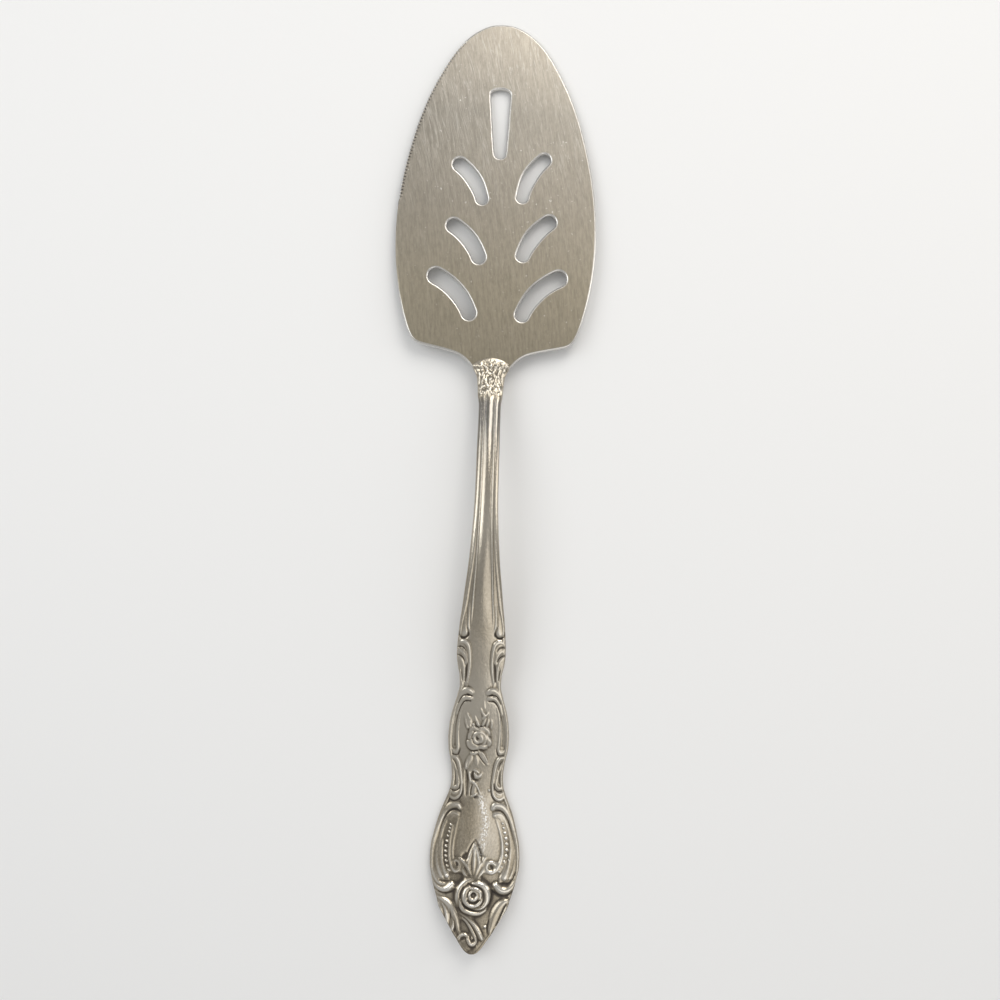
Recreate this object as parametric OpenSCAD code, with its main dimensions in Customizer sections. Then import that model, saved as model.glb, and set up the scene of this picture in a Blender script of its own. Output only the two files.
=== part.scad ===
// Pie server: a pierced flat blade with one toothed edge, on an arched handle with relief ornament
// The piece lies on its back along Y, blade tip at +Y and handle end at -Y, ornament facing +Z

/* [Blade] */
// Length of the blade from its tip to the front edge of the handle collar
blade_l = 94.3; // [80:0.1:120]
// Greatest width of the blade
blade_w = 56.1; // [40:0.1:75]
// Thickness of the blade sheet
blade_t = 1.3; // [0.8:0.1:2.5]
// Angle of the blade to the table, with its tip down
blade_tilt = 2.4; // [1:0.1:5]

/* [Toothed edge] */
// Distance between two teeth along the edge
tooth_pitch = 0.96; // [0.8:0.02:3]
// Depth of the notches
tooth_depth = 0.46; // [0.1:0.02:0.8]
// Where the teeth begin, measured along the edge from the tip
tooth_from = 12; // [6:1:40]
// Where the teeth end, measured along the edge from the tip
tooth_to = 66; // [40:1:80]

/* [Slots] */
// Width of the curved slots, as a share of the drawn width
slot_scale = 1; // [0.6:0.05:1.15]
// Length of the straight slot at the tip
tip_slot_l = 19.7; // [10:0.1:20]
// Distance from the blade tip to the straight slot
tip_slot_at = 18.35; // [14:0.1:20]
// Width of the straight slot at its wide end
tip_slot_w1 = 5.45; // [3:0.1:7]
// Width of the straight slot at its narrow end
tip_slot_w2 = 3.3; // [2:0.1:5]
// How far the narrow end of the straight slot stands to the right of its wide end
tip_slot_lean = 0.4; // [0:0.1:1.5]

/* [Handle] */
// Length of the handle from the front edge of the collar to its end
handle_l = 165.7; // [120:0.1:200]
// Greatest width of the handle
handle_w = 25.2; // [18:0.1:34]
// Height of the underside at the top of the arch
arch_h = 11.5; // [6:0.1:20]
// Height of the underside at the end of the handle
end_lift = 4.2; // [1:0.1:8]
// Thickness of the handle at its rim on the slim part
stem_t = 2.0; // [1.4:0.1:4]
// Thickness of the handle at its rim on the broad part
broad_t = 1.5; // [1:0.1:3]
// Height of the rounded crown over the rim on the slim part
stem_crown = 0.9; // [0:0.1:2]
// Height of the rounded crown over the rim on the broad part
broad_crown = 0.45; // [0:0.05:1.5]

/* [Ornament] */
// Height of all the relief, as a share of the drawn height
relief = 1; // [0.5:0.05:1.3]
// Distance between two beads in the rows
bead_pitch = 1.35; // [1:0.05:2.5]
// Radius of a bead
bead_r = 0.46; // [0.3:0.02:0.8]
// Height of the raised rim along both edges of the handle
rim_h = 0.24; // [0:0.02:0.6]

/* [Hidden] */

// Stations run from the blade tip towards the handle end, at the drawn size
drawn_l = 260;
drawn_nose = 94.3;
drawn_blade_w = 56.1;
drawn_handle_w = 25.2;
total_l = blade_l + handle_l;

// Scales from the drawn size to the chosen one
kb_x = blade_w / drawn_blade_w;
kb_s = blade_l / drawn_nose;
kh_x = handle_w / drawn_handle_w;
kh_s = handle_l / (drawn_l - drawn_nose);

function smooth(t) = let (c = min(max(t, 0), 1)) c * c * (3 - 2 * c);
function mix(a, b, t) = a + (b - a) * t;
function total(v, i = 0) = i >= len(v) ? 0 : v[i] + total(v, i + 1);

// Value at s of a table of [s, value] rows, along smooth curves that never overshoot
function secant(t, i) = (t[i + 1][1] - t[i][1]) / (t[i + 1][0] - t[i][0]);
function slope(t, i) =
    i == 0 ? secant(t, 0)
    : i == len(t) - 1 ? secant(t, i - 1)
    : let (a = secant(t, i - 1), b = secant(t, i)) a * b <= 0 ? 0 : 2 * a * b / (a + b);
function hermite(t, h, a, ma, b, mb) =
    (2 * t * t * t - 3 * t * t + 1) * a + (t * t * t - 2 * t * t + t) * h * ma
    + (3 * t * t - 2 * t * t * t) * b + (t * t * t - t * t) * h * mb;
function row_of(t, s, i = 0) = i >= len(t) - 2 || s < t[i + 1][0] ? i : row_of(t, s, i + 1);
function along(t, s) =
    let (i = row_of(t, s), h = t[i + 1][0] - t[i][0], q = min(max((s - t[i][0]) / h, 0), 1))
    hermite(q, h, t[i][1], slope(t, i), t[i + 1][1], slope(t, i + 1));

// Rounded path through a list of points, with n steps from each point to the next
function knot(p, i) = p[min(max(i, 0), len(p) - 1)];
function blend(a, b, c, d, t) =
    ((2 * b) + (c - a) * t + (2 * a - 5 * b + 4 * c - d) * t * t + (3 * b - a - 3 * c + d) * t * t * t) / 2;
function curve(p, n) = [
    for (i = [0 : len(p) - 2], k = [0 : n - 1])
        blend(knot(p, i - 1), p[i], p[i + 1], knot(p, i + 2), k / n),
    p[len(p) - 1]
];

// Half outline of the blade as [half width, station], from the tip to the root under the collar
blade_half = [
    [0, 0], [2.7, 0.2], [5.3, 1.15], [8.3, 3.0], [11.2, 5.7], [13.5, 8.6], [15.5, 11.8], [18.4, 17.2],
    [20.9, 22.9], [22.9, 28.6], [24.5, 34.3], [25.85, 40], [26.9, 45.7], [27.6, 51.3], [27.98, 57],
    [28.05, 60.5], [27.95, 64.5], [27.6, 69.3], [26.9, 74.5], [25.9, 79.7], [24.6, 84.6], [23.5, 87.6],
    [22.4, 89.5], [20.9, 90.6], [18.3, 91.3], [15, 92.0], [12, 92.7], [9.5, 93.5], [7.7, 94.6],
    [6.5, 95.7], [5.75, 96.6], [5.1, 97.3], [4.4, 97.8]
];
blade_steps = 3;
blade_edge = [for (p = curve(blade_half, blade_steps)) [p[0] * kb_x, p[1] * kb_s]];

// Length along the edge up to each of its points
edge_steps = [for (i = [1 : len(blade_edge) - 1]) norm(blade_edge[i] - blade_edge[i - 1])];
edge_run = [for (sum = 0, i = 0; i < len(blade_edge); sum = sum + (i < len(edge_steps) ? edge_steps[i] : 0),
    i = i + 1) sum];
function place(d, i = 0) = i >= len(edge_run) - 2 || d < edge_run[i + 1] ? i : place(d, i + 1);
function edge_point(d) =
    let (i = place(d), q = (d - edge_run[i]) / (edge_run[i + 1] - edge_run[i]))
    mix(blade_edge[i], blade_edge[i + 1], q);
function edge_inward(d) =
    let (i = place(d), v = blade_edge[i + 1] - blade_edge[i]) [-v[1], v[0]] / norm(v);

// Left edge with its row of notches: a crest and a notch for each tooth
tooth_count = floor((tooth_to - tooth_from) / tooth_pitch);
notch_at = 0.5;
crest_flat = 0.12;
toothed_edge = concat(
    [for (i = [0 : len(blade_edge) - 1]) if (edge_run[i] < tooth_from - crest_flat) blade_edge[i]],
    [for (k = [0 : tooth_count - 1])
        let (d = tooth_from + k * tooth_pitch, m = d + notch_at * tooth_pitch)
        each [edge_point(d), edge_point(m) + tooth_depth * edge_inward(m)]],
    [for (i = [0 : len(blade_edge) - 1])
        if (edge_run[i] > tooth_from + tooth_count * tooth_pitch) blade_edge[i]]
);

// Curved slots: outer end [x, station], inner end [x, station], bow, radius at outer, middle and inner
curved_slots = [
    [[-10.75, 40.1], [-4.25, 49.6], 1.0, 1.9, 1.95, 1.62],
    [[12.85, 38.2], [7.05, 48.8], 1.1, 1.8, 1.95, 1.6],
    [[-11.85, 57.45], [-4.6, 66.1], 0.95, 2.0, 2.05, 1.9],
    [[14.75, 55.8], [7.7, 65.2], 0.9, 2.0, 2.15, 1.8],
    [[-16.3, 71.75], [-6.8, 81.9], 1.3, 2.25, 2.2, 1.95],
    [[17.9, 71.55], [8.05, 81.95], 1.4, 2.25, 2.2, 1.9]
];
slot_steps = 12;
cap_steps = 7;

// Handle outline as [station, half width] at the drawn size
handle_half = [
    [94.3, 0.9], [94.6, 2.2], [95.0, 3.3], [95.5, 4.2], [96.1, 5.0], [96.7, 5.15], [97.4, 5.0], [98.2, 4.6],
    [99.2, 4.1], [100.4, 3.8], [102.5, 3.6], [105, 3.45], [108, 3.05], [113.5, 3.05], [119, 3.12],
    [124.5, 3.14], [130, 3.18], [135.4, 3.3], [140.8, 3.57], [146.2, 3.92], [151.7, 4.38], [157.2, 5.0],
    [162.7, 5.6], [168.2, 6.25], [171.2, 6.5], [173.8, 6.68], [176.2, 6.75], [179.5, 6.4], [182.4, 5.85],
    [185.2, 5.72], [188, 6.3], [190.9, 7.1], [193.8, 7.85], [196.7, 8.3], [200.2, 8.5], [203.3, 8.35],
    [206, 7.85], [208.8, 7.38], [211.5, 7.2], [214.1, 7.4], [216.8, 8.15], [219.8, 9.35], [222.5, 10.35],
    [225.5, 11.2], [228.2, 11.85], [231, 12.4], [233.8, 12.6], [236.5, 12.55], [239, 12.1], [241.8, 11.45],
    [244, 10.75], [245.4, 10.3], [247.4, 9.75], [250, 8.25], [252.6, 6.7], [254.6, 5.5], [256.3, 4.3],
    [257.9, 3.2], [259.1, 2.2], [259.7, 1.45], [260, 0.8]
];

// Underside of the handle in side view: start station, start height and start slope of each bend
root_s = 97.7;
rest_s = 222;
arch_s = 142;
neck_s = 114;
neck_share = 0.69;
neck_slope = 0.25;
tail_s = 182;
tail_share = 0.55;
tail_slope = -0.175;
end_slope = 0.19;
tilt_slope = tan(blade_tilt);
spine = [
    [root_s, root_s * kb_s * tilt_slope, tilt_slope],
    [neck_s, arch_h * neck_share, neck_slope],
    [arch_s, arch_h, 0],
    [tail_s, arch_h * tail_share, tail_slope],
    [rest_s, 0, 0],
    [drawn_l, end_lift, end_slope]
];
function underside(s) =
    let (i = row_of(spine, s), h = spine[i + 1][0] - spine[i][0], q = (s - spine[i][0]) / h)
    hermite(q, h, spine[i][1], spine[i][2], spine[i + 1][1], spine[i + 1][2]);

// The front of the handle sinks into the sheet, and past its end lies just under it
sink = 0.4;
sink_end_s = 96.6;
cover = 0.04;
cover_fade = 4;
function blade_under(s) = s * kb_s * tilt_slope;
function bottom(s) =
    s > root_s ? underside(s) - cover * (1 - smooth((s - root_s) / cover_fade))
    : blade_under(s) + mix(sink, -cover, smooth((s - sink_end_s) / (root_s - sink_end_s)));

// Thickness at the rim and the crown over it, along the handle
lip_t = 0.55;
rim_table = [
    [94.3, blade_t - sink + lip_t], [96.6, blade_t - sink + lip_t + 0.15], [99.5, stem_t - 0.1],
    [104, stem_t], [150, stem_t], [186, broad_t + 0.2], [205, broad_t], [drawn_l, broad_t]
];
crown_table = [
    [94.3, 0.05], [97, 0.35], [101, stem_crown], [150, stem_crown], [172, broad_crown + 0.2],
    [190, broad_crown], [245, broad_crown], [258, 0.2], [drawn_l, 0.1]
];

// Raised lines of the ornament: each is a path of [x, station, half width, height]
// Lines that are the same on both sides of the handle, drawn on its right side
collar_lines = [
    [[0, 94.85, 0.42, 0.24], [2.2, 95.1, 0.42, 0.24], [4.0, 95.9, 0.42, 0.22], [5.1, 96.9, 0.35, 0.15]],
    [[0.9, 102.6, 0.3, 0.25], [1.35, 100.6, 0.36, 0.4], [1.5, 98.7, 0.4, 0.45], [1.1, 97.2, 0.3, 0.3]],
    [[1.7, 102.4, 0.3, 0.25], [2.3, 100.6, 0.4, 0.4], [2.9, 98.8, 0.42, 0.45], [4.1, 97.3, 0.3, 0.3]],
    [[2.6, 103.4, 0.3, 0.25], [3.1, 101.4, 0.32, 0.3], [3.5, 99.9, 0.3, 0.2]]
];
stem_curls = [
    [[3.55, 163, 0.22, 0.16], [3.7, 166.8, 0.26, 0.24], [4.1, 169.4, 0.3, 0.34], [5.0, 170.9, 0.34, 0.4],
        [6.0, 170.7, 0.32, 0.36], [6.2, 169.4, 0.26, 0.2]],
    [[4.9, 162, 0.35, 0.1], [5.2, 166.5, 0.5, 0.2], [5.15, 169.2, 0.7, 0.36], [5.2, 169.6, 0.6, 0.36]]
];
upper_leaf = [
    [[6.3, 172.9, 0.34, 0.35], [5.5, 172.2, 0.44, 0.5], [4.5, 172.2, 0.46, 0.55], [3.5, 173.1, 0.46, 0.55],
        [3.05, 175, 0.42, 0.5], [2.95, 178, 0.38, 0.45], [3.05, 181, 0.34, 0.4], [3.6, 184.3, 0.3, 0.3]],
    [[6.5, 174.5, 0.34, 0.3], [5.6, 174.6, 0.42, 0.42], [4.6, 175.5, 0.42, 0.42], [4.0, 177.2, 0.3, 0.3]],
    [[6.55, 176.6, 0.34, 0.3], [5.6, 177.0, 0.4, 0.38], [4.75, 178.4, 0.34, 0.34], [4.4, 180, 0.26, 0.2]],
    [[6.3, 177.9, 0.36, 0.3], [5.95, 180.2, 0.36, 0.34], [5.35, 182.8, 0.34, 0.34],
        [5.0, 185.2, 0.34, 0.4]],
    [[4.65, 179.2, 0.26, 0.24], [4.6, 181.6, 0.28, 0.28], [4.45, 184.4, 0.24, 0.2]]
];
middle_border = [
    [[2.5, 187.3, 0.36, 0.45], [3.2, 186.4, 0.46, 0.55], [4.2, 186.1, 0.48, 0.55], [5.2, 186.8, 0.46, 0.5],
        [6.1, 188.6, 0.42, 0.42], [6.8, 191.2, 0.38, 0.34], [7.5, 194.4, 0.34, 0.28],
        [7.9, 198, 0.34, 0.26],
        [8.0, 201.4, 0.34, 0.26], [7.75, 204.2, 0.3, 0.2]],
    [[2.5, 188.6, 0.34, 0.38], [3.6, 188.3, 0.42, 0.45], [4.7, 188.8, 0.4, 0.4], [5.5, 190.3, 0.36, 0.32],
        [6.1, 192.8, 0.32, 0.26], [6.45, 196, 0.3, 0.22], [6.5, 200, 0.3, 0.22], [6.35, 203, 0.3, 0.26]],
    [[5.0, 193, 0.22, 0.14], [5.35, 196.5, 0.24, 0.2], [5.4, 200, 0.24, 0.22], [5.3, 202.8, 0.26, 0.26],
        [5.6, 204.3, 0.3, 0.32], [6.3, 204.7, 0.3, 0.32], [7.0, 204.1, 0.26, 0.26]]
];
long_leaf = [
    [[7.5, 206.3, 0.36, 0.4], [6.8, 205.5, 0.46, 0.52], [5.8, 205.8, 0.48, 0.56], [5.05, 207.3, 0.46, 0.54],
        [4.55, 209.8, 0.42, 0.48], [4.15, 212.4, 0.4, 0.46], [4.05, 214.7, 0.4, 0.46],
        [4.55, 216.7, 0.44, 0.5], [5.8, 217.9, 0.46, 0.52], [7.0, 217.9, 0.44, 0.48],
        [7.7, 217.0, 0.34, 0.34]],
    [[6.8, 207.0, 0.28, 0.24], [6.0, 209.2, 0.36, 0.36], [5.45, 211.6, 0.38, 0.4], [5.1, 213.5, 0.4, 0.44],
        [5.5, 214.8, 0.42, 0.48], [6.4, 215.3, 0.44, 0.5], [7.1, 214.7, 0.34, 0.34]],
    [[7.0, 208.4, 0.3, 0.2], [6.65, 210.6, 0.34, 0.28], [6.3, 212.6, 0.32, 0.28], [6.5, 213.6, 0.3, 0.24]],
    [[4.9, 215.2, 0.3, 0.26], [5.6, 216.4, 0.34, 0.34], [6.6, 216.7, 0.34, 0.34], [7.4, 216.1, 0.28, 0.24]]
];
broad_border = [
    [[4.6, 220.9, 0.4, 0.45], [4.8, 219.6, 0.5, 0.58], [5.8, 219.0, 0.54, 0.62], [7.3, 219.4, 0.54, 0.6],
        [8.8, 220.9, 0.5, 0.52], [9.95, 223.4, 0.46, 0.44], [11.0, 226.8, 0.42, 0.36],
        [11.75, 230.3, 0.4, 0.32],
        [12.05, 233.6, 0.4, 0.3], [12.0, 236.4, 0.36, 0.28], [11.6, 238.4, 0.3, 0.2]],
    [[5.2, 222.6, 0.3, 0.26], [6.4, 221.9, 0.36, 0.34], [7.7, 222.4, 0.36, 0.34], [8.9, 224.4, 0.34, 0.3],
        [9.7, 227.2, 0.32, 0.26], [10.25, 230.4, 0.32, 0.24], [10.45, 233.4, 0.36, 0.28],
        [10.2, 236.2, 0.44, 0.36], [9.3, 238.6, 0.5, 0.42]],
    [[5.3, 223.2, 0.26, 0.2], [6.0, 225.4, 0.3, 0.3], [6.6, 228, 0.32, 0.36], [6.95, 230.8, 0.32, 0.4],
        [6.9, 233.6, 0.34, 0.44], [6.4, 236.0, 0.36, 0.48], [5.5, 237.8, 0.38, 0.5],
        [4.5, 238.1, 0.38, 0.5],
        [3.65, 237.3, 0.36, 0.46], [3.6, 236.0, 0.34, 0.42], [4.35, 235.2, 0.32, 0.38],
        [5.1, 235.8, 0.28, 0.3]],
    [[9.3, 231.6, 0.26, 0.16], [9.35, 234.4, 0.36, 0.3], [8.95, 237.0, 0.5, 0.44], [8.3, 239.2, 0.56, 0.5]]
];
side_scroll = [
    [[12.0, 239.2, 0.3, 0.26], [11.2, 240.9, 0.5, 0.46], [9.9, 242.4, 0.66, 0.6], [8.4, 243.1, 0.72, 0.66],
        [7.0, 242.8, 0.66, 0.62], [6.1, 241.8, 0.6, 0.6]],
    [[12.0, 236.9, 0.26, 0.2], [11.1, 238.8, 0.38, 0.34], [9.9, 240.3, 0.46, 0.42],
        [8.6, 240.9, 0.46, 0.42],
        [7.5, 240.4, 0.36, 0.34]]
];
lower_leaf = [
    [[9.9, 245.3, 0.34, 0.36], [8.5, 245.9, 0.5, 0.54], [7.0, 247.3, 0.58, 0.62], [5.8, 249.3, 0.56, 0.6],
        [5.0, 251.4, 0.46, 0.5], [4.6, 253.3, 0.32, 0.3]],
    [[9.3, 246.9, 0.32, 0.3], [8.5, 248.8, 0.42, 0.42], [7.5, 250.7, 0.42, 0.42], [6.9, 252.2, 0.3, 0.28]],
    [[7.6, 248.6, 0.28, 0.26], [6.7, 250.4, 0.36, 0.38], [6.1, 252.1, 0.38, 0.4], [5.9, 253.6, 0.32, 0.3]]
];

// Lines that stand alone near the middle of the handle
collar_mid = [
    [[0, 103.0, 0.3, 0.25], [0, 100.5, 0.42, 0.42], [0, 97.8, 0.42, 0.45], [0, 96.4, 0.3, 0.3]],
    [[0, 103.7, 0.5, 0.3], [0, 104.6, 0.48, 0.34], [0, 106.2, 0.25, 0.15]]
];
middle_spray = [
    [[-0.3, 197.0, 0.3, 0.3], [-0.85, 195.2, 0.4, 0.42], [-1.3, 193.6, 0.26, 0.24]],
    [[-1.3, 197.2, 0.3, 0.3], [-2.2, 195.5, 0.42, 0.42], [-3.2, 193.1, 0.26, 0.24]],
    [[-2.4, 197.6, 0.36, 0.36], [-3.5, 196.4, 0.46, 0.42], [-4.0, 194.3, 0.28, 0.22]],
    [[0.6, 197.0, 0.3, 0.3], [1.0, 194.8, 0.42, 0.42], [1.0, 192.8, 0.36, 0.34], [0.4, 190.9, 0.24, 0.2]],
    [[1.3, 193.4, 0.3, 0.26], [1.9, 191.9, 0.24, 0.2]],
    [[1.6, 197.2, 0.3, 0.3], [2.2, 195.8, 0.4, 0.38], [2.7, 194.1, 0.26, 0.22]],
    [[2.5, 197.7, 0.34, 0.32], [3.2, 196.4, 0.4, 0.36], [3.5, 194.7, 0.26, 0.22]]
];
small_rose = [
    [[-0.9, 200.5, 0.38, 0.7], [-0.5, 201.4, 0.4, 0.72], [0.4, 201.4, 0.4, 0.72], [0.9, 200.6, 0.4, 0.74],
        [0.6, 199.8, 0.38, 0.7], [-0.2, 199.7, 0.34, 0.62]],
    [[-1.9, 200.9, 0.34, 0.5], [-1.7, 199.4, 0.38, 0.56], [-0.8, 198.5, 0.42, 0.6], [0.5, 198.3, 0.42, 0.6],
        [1.6, 199.0, 0.4, 0.56], [1.9, 200.4, 0.34, 0.5], [1.3, 201.9, 0.3, 0.44]],
    [[-2.9, 201.0, 0.36, 0.44], [-2.4, 202.5, 0.42, 0.52], [-1.2, 203.2, 0.42, 0.52],
        [0.1, 202.9, 0.32, 0.4]],
    [[-2.2, 198.0, 0.3, 0.34], [-1.1, 197.2, 0.38, 0.44], [0.1, 197.5, 0.32, 0.38]],
    [[0.3, 197.8, 0.34, 0.42], [1.5, 197.3, 0.44, 0.54], [2.6, 198.0, 0.42, 0.5], [2.8, 199.3, 0.34, 0.4]],
    [[2.5, 200.0, 0.34, 0.42], [3.2, 201.2, 0.42, 0.48], [3.2, 202.3, 0.32, 0.34]],
    [[0.6, 202.8, 0.34, 0.42], [1.5, 202.7, 0.38, 0.46], [2.3, 203.1, 0.3, 0.34]]
];
small_leaves = [
    [[0.4, 203.7, 0.28, 0.34], [1.8, 205.2, 0.3, 0.4], [2.8, 207.3, 0.24, 0.3]],
    [[0.1, 204.6, 0.26, 0.32], [1.3, 206.4, 0.3, 0.38], [2.5, 207.8, 0.26, 0.3]],
    [[-1.9, 204.9, 0.28, 0.34], [-2.4, 206.5, 0.34, 0.42], [-3.0, 208.4, 0.4, 0.48],
        [-3.0, 209.4, 0.26, 0.3]],
    [[-0.4, 205.2, 0.26, 0.3], [-1.4, 207.0, 0.3, 0.36], [-2.5, 208.7, 0.26, 0.3]],
    [[-1.1, 210.3, 0.3, 0.36], [-0.7, 211.4, 0.36, 0.44], [0.2, 211.6, 0.38, 0.46],
        [1.1, 210.8, 0.3, 0.34]],
    [[-0.2, 209.9, 0.4, 0.34], [0.3, 210.1, 0.4, 0.34]],
    [[-2.1, 211.0, 0.28, 0.34], [-2.0, 212.6, 0.32, 0.4], [-1.5, 213.4, 0.26, 0.34],
        [-1.1, 215.0, 0.26, 0.3],
        [-1.0, 216.5, 0.26, 0.28]],
    [[-1.4, 213.0, 0.26, 0.34], [-0.3, 213.9, 0.3, 0.38], [0.5, 215.4, 0.3, 0.34], [0.1, 216.9, 0.28, 0.32],
        [-1.0, 217.1, 0.26, 0.3]]
];
broad_spray = [
    [[-0.2, 229.5, 0.24, 0.3], [-1.3, 231.5, 0.28, 0.38], [-1.9, 233.5, 0.3, 0.42],
        [-1.7, 235.8, 0.28, 0.4],
        [-1.0, 238.0, 0.26, 0.36]],
    [[-0.1, 229.5, 0.24, 0.3], [0.9, 231.5, 0.28, 0.38], [1.5, 233.5, 0.3, 0.42], [1.3, 235.8, 0.28, 0.4],
        [0.7, 238.0, 0.26, 0.36]],
    [[-0.3, 231.3, 0.26, 0.34], [-0.1, 233.4, 0.42, 0.48], [0, 236.0, 0.42, 0.46], [-0.1, 238.8, 0.3, 0.4]],
    [[-0.6, 239.1, 0.3, 0.4], [-1.6, 237.4, 0.34, 0.44], [-2.8, 235.7, 0.34, 0.42],
        [-4.4, 234.2, 0.26, 0.3]],
    [[-1.4, 239.4, 0.3, 0.36], [-2.6, 238.8, 0.34, 0.4], [-3.1, 237.5, 0.3, 0.36],
        [-3.4, 236.4, 0.24, 0.26]],
    [[0.5, 239.1, 0.3, 0.4], [1.1, 237.3, 0.32, 0.42], [2.0, 235.6, 0.32, 0.4], [3.1, 234.3, 0.26, 0.3]],
    [[1.1, 239.4, 0.28, 0.34], [2.0, 238.2, 0.32, 0.38], [2.5, 236.8, 0.28, 0.34]]
];
large_rose = [
    [[-0.3, 239.8, 0.36, 0.45], [-2.1, 240.2, 0.44, 0.55], [-3.7, 241.6, 0.46, 0.58],
        [-4.6, 243.6, 0.46, 0.58],
        [-4.6, 245.7, 0.42, 0.52], [-4.1, 247.3, 0.32, 0.4]],
    [[-3.8, 245.8, 0.4, 0.6], [-3.2, 247.8, 0.46, 0.66], [-1.7, 248.9, 0.48, 0.66],
        [0.4, 249.4, 0.46, 0.62],
        [2.4, 249.2, 0.42, 0.56], [3.7, 248.4, 0.34, 0.44]],
    [[0, 241.1, 0.44, 0.72], [1.8, 241.1, 0.6, 0.84], [3.3, 242.0, 0.64, 0.86], [4.1, 243.7, 0.54, 0.78],
        [4.0, 245.5, 0.42, 0.68], [3.2, 247.1, 0.38, 0.62], [1.8, 248.1, 0.34, 0.56],
        [0.4, 248.3, 0.3, 0.5]],
    [[-0.9, 242.0, 0.42, 0.8], [-2.1, 242.8, 0.48, 0.9], [-2.6, 244.4, 0.5, 0.92], [-2.3, 246.0, 0.5, 0.92],
        [-1.1, 247.1, 0.48, 0.9], [0.4, 247.3, 0.46, 0.86], [1.7, 246.7, 0.42, 0.8],
        [2.5, 245.6, 0.36, 0.74]],
    [[-0.6, 242.5, 0.42, 0.92], [0.6, 242.2, 0.46, 0.98], [1.8, 242.7, 0.48, 1.0], [2.4, 243.9, 0.46, 0.96],
        [2.0, 245.2, 0.4, 0.88]],
    [[-0.9, 243.4, 0.36, 1.0], [-1.25, 244.4, 0.42, 1.08], [-0.7, 245.4, 0.44, 1.1],
        [0.4, 245.5, 0.44, 1.1],
        [1.15, 244.7, 0.42, 1.08], [1.15, 243.7, 0.4, 1.05], [0.4, 243.0, 0.36, 1.0],
        [-0.4, 243.0, 0.34, 1.0]]
];
tip_scroll = [
    [[-3.6, 249.4, 0.3, 0.36], [-2.1, 250.1, 0.38, 0.46], [-0.4, 251.4, 0.42, 0.5], [1.2, 253.0, 0.42, 0.5],
        [2.3, 254.8, 0.38, 0.44], [3.0, 256.4, 0.3, 0.32]],
    [[-3.1, 250.6, 0.26, 0.3], [-1.8, 251.3, 0.34, 0.4], [-0.6, 252.8, 0.38, 0.46], [0.4, 254.4, 0.4, 0.48],
        [0.95, 256.0, 0.42, 0.5], [0.5, 257.2, 0.42, 0.5], [-0.4, 257.4, 0.4, 0.48],
        [-1.0, 256.4, 0.36, 0.44],
        [-1.4, 255.2, 0.34, 0.42], [-2.4, 254.8, 0.32, 0.38], [-3.5, 255.2, 0.26, 0.28]]
];

// Rounded bumps as [x, station, radius, height]: both sides, then alone
side_balls = [[6.0, 241.4, 0.85, 0.8]];
mid_balls = [[-2.4, 256.4, 0.9, 0.24], [0, 244.2, 5.2, 0.34], [-0.1, 200.4, 3.0, 0.21]];

// Bead row between the two border lines of the broad part
bead_path = [
    [7.05, 224.6], [7.5, 226.4], [7.95, 228.4], [8.3, 230.6], [8.4, 232.8], [8.1, 234.8], [7.5, 236.6],
    [6.8, 238]
];
bead_h = 0.42;
bead_line = curve(bead_path, 3);
bead_gaps = [for (i = [1 : len(bead_line) - 1]) norm(bead_line[i] - bead_line[i - 1])];
bead_run = [for (sum = 0, i = 0; i < len(bead_line); sum = sum + (i < len(bead_gaps) ? bead_gaps[i] : 0),
    i = i + 1) sum];
function bead_place(d, i = 0) = i >= len(bead_run) - 2 || d < bead_run[i + 1] ? i : bead_place(d, i + 1);
beads = [
    for (d = [0 : bead_pitch : total(bead_gaps)])
        let (i = bead_place(d), p = mix(bead_line[i], bead_line[i + 1], (d - bead_run[i]) / bead_gaps[i]))
        [p[0], p[1], bead_r, bead_h]
];

// A ridge fades out at this many half widths from its line
ridge_reach = 1.5;

// Each line cut into short steps, with the box that holds its ridge
line_steps = 3;
function boxed(line) =
    let (p = curve(line, line_steps), w = ridge_reach * max([for (q = line) q[2]]))
    [min([for (q = p) q[0]]) - w, max([for (q = p) q[0]]) + w,
        min([for (q = p) q[1]]) - w, max([for (q = p) q[1]]) + w, p];
both_side_lines = [
    for (g = [collar_lines, stem_curls, upper_leaf, middle_border, long_leaf, broad_border, side_scroll,
        lower_leaf], l = g) boxed(l)
];
lone_lines = [
    for (g = [collar_mid, middle_spray, small_rose, small_leaves, broad_spray, large_rose, tip_scroll],
        l = g) boxed(l)
];

// Height of one line, of all lines and of the bumps over the plain surface at (x, s)
function ridge(x, s, a, b) =
    let (vx = b[0] - a[0], vs = b[1] - a[1], v2 = max(vx * vx + vs * vs, 0.000001),
        t = min(max(((x - a[0]) * vx + (s - a[1]) * vs) / v2, 0), 1),
        dx = x - a[0] - t * vx, ds = s - a[1] - t * vs,
        w = ridge_reach * mix(a[2], b[2], t), q = (dx * dx + ds * ds) / (w * w))
    q >= 1 ? 0 : mix(a[3], b[3], t) * (1 - q) * (1 - q);
function line_height(x, s, l) =
    x < l[0] || x > l[1] || s < l[2] || s > l[3] ? 0
    : max([for (i = [0 : len(l[4]) - 2]) ridge(x, s, l[4][i], l[4][i + 1])]);
function ball_height(x, s, b) =
    let (q = ((x - b[0]) * (x - b[0]) + (s - b[1]) * (s - b[1])) / (b[2] * b[2]))
    q >= 1 ? 0 : b[3] * sqrt(1 - q);
function ornament(x, s) =
    max(concat([0],
        [for (l = both_side_lines) line_height(abs(x), s, l)],
        [for (l = lone_lines) line_height(x, s, l)],
        [for (b = side_balls) ball_height(abs(x), s, b)],
        [for (b = beads) ball_height(abs(x), s, b)]))
    + max([for (b = mid_balls) ball_height(x, s, b)]);

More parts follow.
